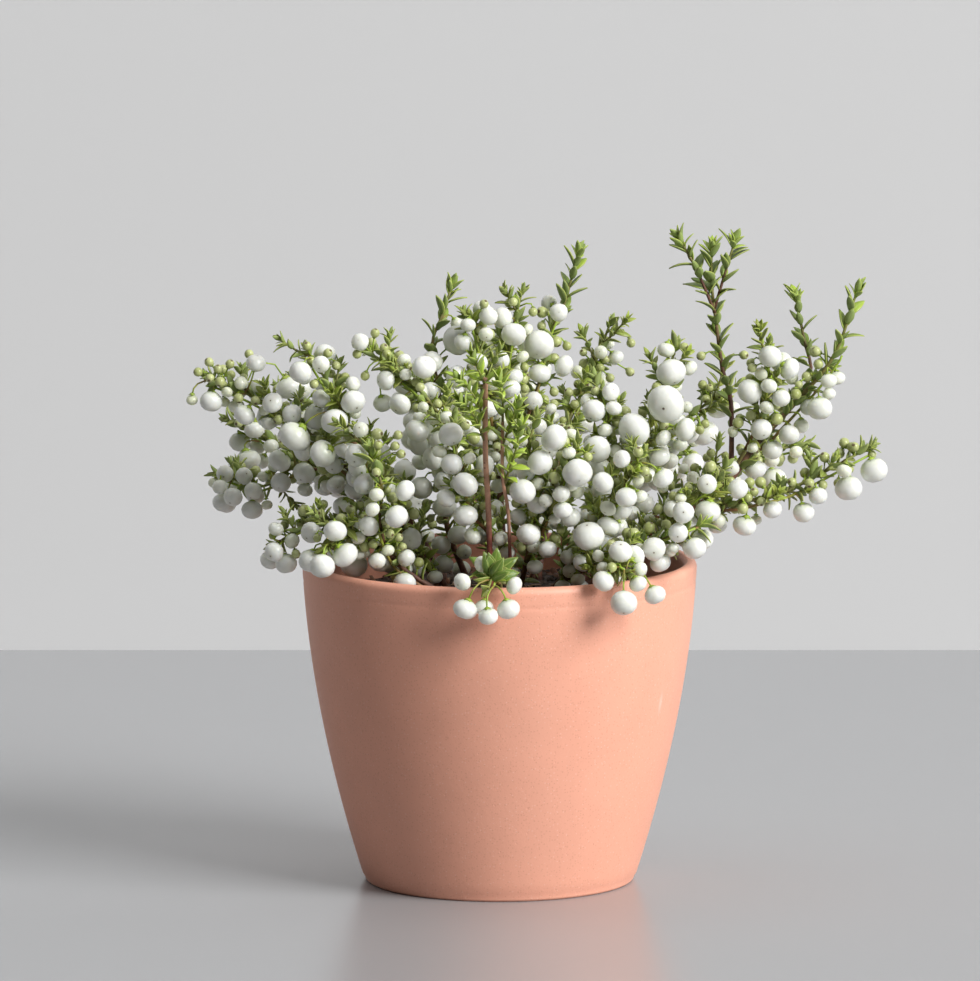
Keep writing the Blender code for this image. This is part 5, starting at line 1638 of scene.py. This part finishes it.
def build_twigs(settings):
    """The twigs of each leafy stem with its unripe berries, and the two bare stalks."""
    plant = whole_plant()
    bark, stalk, unripe = bark_material(settings), stalk_material(settings), unripe_material(settings)
    bare = bare_stalk_material(settings)
    for order, (node, branches) in enumerate(STEMS.items()):
        bm = new_mesh()
        for branch in branches:
            path = plant.fine[branch.name]
            radii = evenly(branch.thick * MM, settings.twig_tip, len(path) - 1)
            woody = clamp(branch.thick - 0.5)
            young = (0.0, 0.8) if branch.name in LEAFY_SHOOTS else (0.75 - 0.75 * woody, 1.0)
            add_tube(bm, path, radii, 8, 0, young)
        rng = random.Random(SEED * 5000 + order)
        for green in of_node(plant.greens, node):
            add_unripe(bm, green.anchor, green.centre, GREEN_RADIUS, rng)
        for more in of_node(plant.more, node):
            add_unripe(bm, more.hold.point, more.centre, more.radius, rng)
        for sprig in of_node(plant.sprigs, node):
            radii = evenly(*SPRIG_RADII, len(sprig.points) - 1)
            add_tube(bm, sprig.points, radii, 5, 0, (0.55, 1.0), rng.random())
        finished("twigs_" + node, bm, [bark, stalk, unripe], (node,))
    for node, (_, _, radius) in BARE_STALKS.items():
        bm = new_mesh()
        path = plant.fine[node]
        add_tube(bm, path, evenly(radius * MM, radius * BARE_TAPER * MM, len(path) - 1), 10, 0, (0.0, 1.0))
        for sprig in of_node(plant.sprigs, node):
            radii = evenly(*LIME_RADII, len(sprig.points) - 1)
            add_tube(bm, sprig.points, radii, 6, 1, (0.6, 1.0))
        finished("bare_" + node, bm, [bare, bark], (node,))


def add_unripe(bm, start, centre, radius, rng):
    """A small green berry on its bent stalk."""
    hang = hang_way(start, centre, rng)
    end = centre - hang * radius * 0.8
    add_tube(bm, bow(start, end, hang, 3), evenly(*GREEN_STALK_RADII, 3), 5, 1, (0.7, 1.0), rng.random())
    matrix = facing(hang, centre) @ Matrix.Scale(radius, 4)
    stamp(bm, unripe_shape(), matrix, tone=rng.random())
    stamp(bm, calyx_shape(), matrix @ Matrix.Scale(1.3, 4), tone=rng.random(), young=0.8)


@lru_cache(maxsize=1)
def unripe_shape():
    """An unripe berry of radius 1: a round ball."""
    bm = new_mesh()
    bmesh.ops.create_uvsphere(bm, u_segments=9, v_segments=6, radius=1.0)
    pole = bm.verts.layers.float["pole"]
    for vert in bm.verts:
        vert[pole] = math.acos(clamp(vert.co.z, -1.0)) / math.pi
    for face in bm.faces:
        face.material_index = 2
    return as_shape("unripe", bm)


def build_leaves(settings):
    """The leaves of each leafy stem: arched, folded blades of a few shapes."""
    plant = whole_plant()
    leaf_look = leaf_material(settings)
    for order, node in enumerate((*STEMS, *BARE_STALKS)):
        bm = new_mesh()
        rng = random.Random(SEED * 6000 + order)
        for leaf in of_node(plant.leaves, node):
            side = leaf.up.cross(leaf.along).normalized()
            turn = Matrix((leaf.along, side, leaf.up)).transposed().to_4x4()
            width, olive = leaf.look
            across = leaf.length * width * rng.uniform(0.85, 1.15)
            size = Matrix.Diagonal((leaf.length, across, leaf.length, 1))
            shape = blade_shape(*BLADES[rng.randrange(len(BLADES))])
            young = clamp(leaf.young + rng.uniform(-0.15, 0.15))
            olive *= rng.uniform(0.4, 1.25)
            place = Matrix.Translation(leaf.root) @ turn @ size
            stamp(bm, shape, place, tone=rng.random(), young=young, olive=olive)
        finished("leaves_" + node, bm, [leaf_look])


def build_berries(settings):
    """The white berries, a piece for each bunch, on their stalks and with the collar they grow from."""
    plant = whole_plant()
    materials = [berry_material(settings), stalk_material(settings)]
    bunches = {bunch.node: bunch for bunch in plant.bunches}
    nodes = sorted(set(bunches) | {more.node for more in plant.more if more.kind == BERRY})
    for order, node in enumerate(nodes):
        bm = new_mesh()
        rng = random.Random(SEED * 7000 + order)
        if node in bunches:
            add_rachis(bm, plant, node, bunches[node].rachis)
            for berry in bunches[node].berries:
                add_berry(bm, berry.anchor, berry.centre, berry.radius, rng)
        for more in of_node(plant.more, node):
            add_berry(bm, more.hold.point, more.centre, more.radius, rng)
        finished("white_" + node, bm, materials, (node,) if node in bunches else ())


def add_rachis(bm, plant, node, rachis):
    """The slim stalk of a bunch, which leaves its stem below the first berry."""
    path = plant.fine[node.removeprefix("berries_")]
    near = min(range(len(path)), key=lambda i: (path[i] - rachis[0]).length)
    points = spline([path[max(0, near - 2)]] + rachis, 4 * MM)
    add_tube(bm, points, evenly(*RACHIS_RADII, len(points) - 1), 7, 1, (0.2, 0.9))


def hang_way(start, centre, rng):
    """The way a berry points: it droops from its stalk, but for one that stands above its stem."""
    reach = (centre - start).normalized()
    if reach.z > 0.5:
        return (reach + scatter(rng, 0.25)).normalized()
    droop = rng.uniform(0.25, 0.9)
    return (reach * (1.1 - droop) + Vector((0, 0, -droop)) + scatter(rng, 0.18)).normalized()


def add_berry(bm, start, centre, radius, rng):
    """A white berry with its collar, on a bent stalk. The smaller it is, the less ripe it looks."""
    hang = hang_way(start, centre, rng)
    end = centre - hang * radius * 0.84
    add_tube(bm, bow(start, end, hang, 4), evenly(*BERRY_STALK_RADII, 4), 5, 1, (0.35, 0.9), rng.random())
    spin = Matrix.Rotation(rng.uniform(0, 2 * math.pi), 4, "Z")
    matrix = facing(hang, centre) @ spin @ Matrix.Scale(radius, 4)
    unripe = clamp((3.4 * MM - radius) / (1.2 * MM)) * rng.uniform(0.3, 1.0)
    shape = berry_shape(*BERRIES[rng.randrange(len(BERRIES))])
    stamp(bm, shape, matrix, tone=rng.random(), young=unripe)
    stamp(bm, calyx_shape(), matrix @ Matrix.Scale(1 + 0.35 * unripe, 4), tone=rng.random(), young=0.8)


# The stage


def build_stage(scene, settings):
    """A grey table before a paler wall, a soft light from the right and one from above, and the camera."""
    table = [(-TABLE_SIDE, -TABLE_FRONT, 0), (-TABLE_SIDE, WALL_AWAY, 0)]
    add_sheet(scene, "table", table, stage_material("table", settings.table, TABLE_ROUGHNESS))
    wall = [(-TABLE_SIDE, WALL_AWAY, 0), (-TABLE_SIDE, WALL_AWAY, WALL_HEIGHT)]
    wall_look = stage_material("wall", settings.wall, WALL_ROUGHNESS)
    add_sheet(scene, "wall", wall, open_behind(wall_look))
    add_light(scene, "key", KEY_PLACE, settings.key_size, settings.key)
    add_light(scene, "top", TOP_PLACE, settings.top_size, settings.top)
    world = bpy.data.worlds.new("room")
    world.use_nodes = True
    sky = world.node_tree.nodes["Background"]
    sky.inputs["Color"].default_value = (1.0, 0.99, 0.98, 1.0)
    sky.inputs["Strength"].default_value = settings.fill
    scene.world = world
    scene.view_settings.view_transform = "Standard"
    add_camera(scene)


def add_sheet(scene, name, line, material):
    """A flat sheet of the stage: a line of two points, extruded to the right."""
    bm = bmesh.new()
    verts = [bm.verts.new(point) for point in line]
    made = bmesh.ops.extrude_edge_only(bm, edges=[bm.edges.new(verts)])["geom"]
    moved = [part for part in made if isinstance(part, bmesh.types.BMVert)]
    bmesh.ops.translate(bm, verts=moved, vec=(2 * TABLE_SIDE, 0, 0))
    bmesh.ops.recalc_face_normals(bm, faces=bm.faces[:])
    mesh = as_shape(name, bm)
    mesh.materials.append(material)
    sheet = bpy.data.objects.new(name, mesh)
    scene.collection.objects.link(sheet)


def add_light(scene, name, place, size, power):
    """A square soft light that points at the plant."""
    light = bpy.data.lights.new(name, "AREA")
    light.size = size
    light.energy = power
    lamp = bpy.data.objects.new(name, light)
    lamp.location = place
    lamp.rotation_euler = (AIM - Vector(place)).to_track_quat("-Z", "Y").to_euler()
    scene.collection.objects.link(lamp)


def add_camera(scene):
    """A long lens at the photo's angle, so that one pixel of its frame is PIXEL wide at the pot's axis."""
    lens = bpy.data.cameras.new("camera")
    lens.sensor_fit = "HORIZONTAL"
    lens.sensor_width = SENSOR_WIDTH
    lens.lens = SENSOR_WIDTH * EYE_DISTANCE / (IMAGE_SIZE[0] * PIXEL)
    lens.clip_end = 20.0
    camera = bpy.data.objects.new("camera", lens)
    camera.location = EYE
    camera.rotation_euler = LOOK.to_track_quat("-Z", "Y").to_euler()
    scene.collection.objects.link(camera)
    scene.camera = camera


# The add-on: sizes and colours that a user can change, and an operator for each group of pieces

COLOUR = {"subtype": "COLOR", "size": 3, "min": 0, "max": 1}
LENGTH = {"subtype": "DISTANCE", "unit": "LENGTH", "precision": 5, "min": 0}
POWER = {"unit": "POWER", "min": 0}


class HeathPotSettings(bpy.types.PropertyGroup):
    """The pot and the soil in it."""

    steps: IntProperty(name="Steps", description="Steps round the pot", default=128, min=48, max=256)
    band_depth: FloatProperty(name="Line depth", description="Depth of the turned line below the rim",
                              default=BAND_DEPTH, **LENGTH)
    ripple: FloatProperty(name="Soil ripple", description="Height of the soil's unevenness",
                          default=SOIL_RIPPLE, **LENGTH)
    clay: FloatVectorProperty(name="Clay", description="Colour of the fired clay",
                              default=(0.86, 0.40, 0.275), **COLOUR)
    # The inside's colour holds painted shade in the pot's hollow, and damp clay
    shade_and_damp_clay: FloatVectorProperty(name="Shade and damp clay", description="Colour of the clay inside the pot",
                                   default=(0.42, 0.17, 0.105), **COLOUR)
    soil: FloatVectorProperty(name="Soil", description="Colour of the soil",
                              default=(0.055, 0.032, 0.02), **COLOUR)
    crumbs: IntProperty(name="Crumbs", description="Crumbs and chips on the soil",
                        default=520, min=0, max=900)
    roots: IntProperty(name="Roots", description="Thin roots on the soil", default=26, min=0, max=80)


class HeathPlantSettings(bpy.types.PropertyGroup):
    """The colours of the plant and the size of its twigs."""

    twig_tip: FloatProperty(name="Twig tip", description="Radius of a twig at its tip",
                            default=TWIG_TIP, **LENGTH)
    leaf: FloatVectorProperty(name="Leaf", description="Colour of an old leaf",
                              default=(0.12, 0.195, 0.026), **COLOUR)
    olive_leaf: FloatVectorProperty(name="Olive leaf", description="Colour of the leaves among the berries",
                                    default=(0.27, 0.275, 0.055), **COLOUR)
    young_leaf: FloatVectorProperty(name="Young leaf", description="Colour of leaves at the tips",
                                    default=(0.38, 0.53, 0.05), **COLOUR)
    bark: FloatVectorProperty(name="Bark", description="Colour of old twigs",
                              default=(0.20, 0.085, 0.05), **COLOUR)
    bare_stalk: FloatVectorProperty(name="Bare stalk", description="Colour of the cut stalks' tops",
                                    default=(0.68, 0.37, 0.24), **COLOUR)
    berry: FloatVectorProperty(name="Berry", description="Colour of a ripe berry",
                               default=(0.80, 0.803, 0.775), **COLOUR)
    unripe: FloatVectorProperty(name="Unripe berry", description="Colour of an unripe berry",
                                default=(0.48, 0.53, 0.19), **COLOUR)


class HeathStageSettings(bpy.types.PropertyGroup):
    """The table, the wall and the light."""

    table: FloatVectorProperty(name="Table", description="Colour of the table",
                               default=(0.345, 0.349, 0.357), **COLOUR)
    wall: FloatVectorProperty(name="Wall", description="Colour of the wall",
                              default=(0.61, 0.61, 0.61), **COLOUR)
    key: FloatProperty(name="Key light", description="Power of the light from the right",
                       default=1500.0, **POWER)
    key_size: FloatProperty(name="Key size", description="Width of the light from the right",
                            default=5.4, **LENGTH)
    top: FloatProperty(name="Top light", description="Power of the light from above", default=12.0, **POWER)
    top_size: FloatProperty(name="Top size", description="Width of the light from above",
                            default=1.6, **LENGTH)
    fill: FloatProperty(name="Fill", description="Strength of the light from all round",
                        default=0.085, min=0)


class HEATH_OT_stage(bpy.types.Operator):
    """Sets up the table, the wall, the lights and the camera"""

    bl_idname = "heath.stage"
    bl_label = "Stage"

    def execute(self, context):
        build_stage(context.scene, context.scene.heath_stage)
        return {"FINISHED"}


class HEATH_OT_pot(bpy.types.Operator):
    """Turns the terracotta pot"""

    bl_idname = "heath.pot"
    bl_label = "Pot"

    def execute(self, context):
        build_pot(context.scene.heath_pot)
        return {"FINISHED"}


class HEATH_OT_soil(bpy.types.Operator):
    """Fills the pot with soil"""

    bl_idname = "heath.soil"
    bl_label = "Soil"

    def execute(self, context):
        build_soil(context.scene.heath_pot)
        return {"FINISHED"}


class HEATH_OT_twigs(bpy.types.Operator):
    """Grows the twigs with their unripe berries"""

    bl_idname = "heath.twigs"
    bl_label = "Twigs"

    def execute(self, context):
        build_twigs(context.scene.heath_plant)
        return {"FINISHED"}


class HEATH_OT_leaves(bpy.types.Operator):
    """Grows the leaves"""

    bl_idname = "heath.leaves"
    bl_label = "Leaves"

    def execute(self, context):
        build_leaves(context.scene.heath_plant)
        return {"FINISHED"}


class HEATH_OT_berries(bpy.types.Operator):
    """Hangs the white berries"""

    bl_idname = "heath.berries"
    bl_label = "Berries"

    def execute(self, context):
        build_berries(context.scene.heath_plant)
        return {"FINISHED"}


class HEATH_PT_panel(bpy.types.Panel):
    """The sidebar's list of what can be made"""

    bl_label = "Heath"
    bl_idname = "HEATH_PT_panel"
    bl_space_type = "VIEW_3D"
    bl_region_type = "UI"
    bl_category = "Heath"

    def draw(self, context):
        for group in (context.scene.heath_pot, context.scene.heath_plant, context.scene.heath_stage):
            box = self.layout.box()
            for name in group.__annotations__:
                box.prop(group, name)
        for operator in OPERATORS:
            self.layout.operator(operator.bl_idname)


SETTINGS = {
    "heath_pot": HeathPotSettings,
    "heath_plant": HeathPlantSettings,
    "heath_stage": HeathStageSettings,
}
OPERATORS = (HEATH_OT_stage, HEATH_OT_pot, HEATH_OT_soil, HEATH_OT_twigs, HEATH_OT_leaves, HEATH_OT_berries)


def register():
    for shown in (*SETTINGS.values(), *OPERATORS, HEATH_PT_panel):
        bpy.utils.register_class(shown)
    for name, settings in SETTINGS.items():
        setattr(bpy.types.Scene, name, PointerProperty(type=settings))


def unregister():
    for name in SETTINGS:
        delattr(bpy.types.Scene, name)
    for shown in (HEATH_PT_panel, *reversed(OPERATORS), *SETTINGS.values()):
        bpy.utils.unregister_class(shown)


def main():
    """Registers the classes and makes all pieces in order."""
    register()
    bpy.ops.heath.stage()
    bpy.ops.heath.pot()
    bpy.ops.heath.soil()
    bpy.ops.heath.twigs()
    bpy.ops.heath.leaves()
    bpy.ops.heath.berries()


if __name__ == "__main__":
    main()
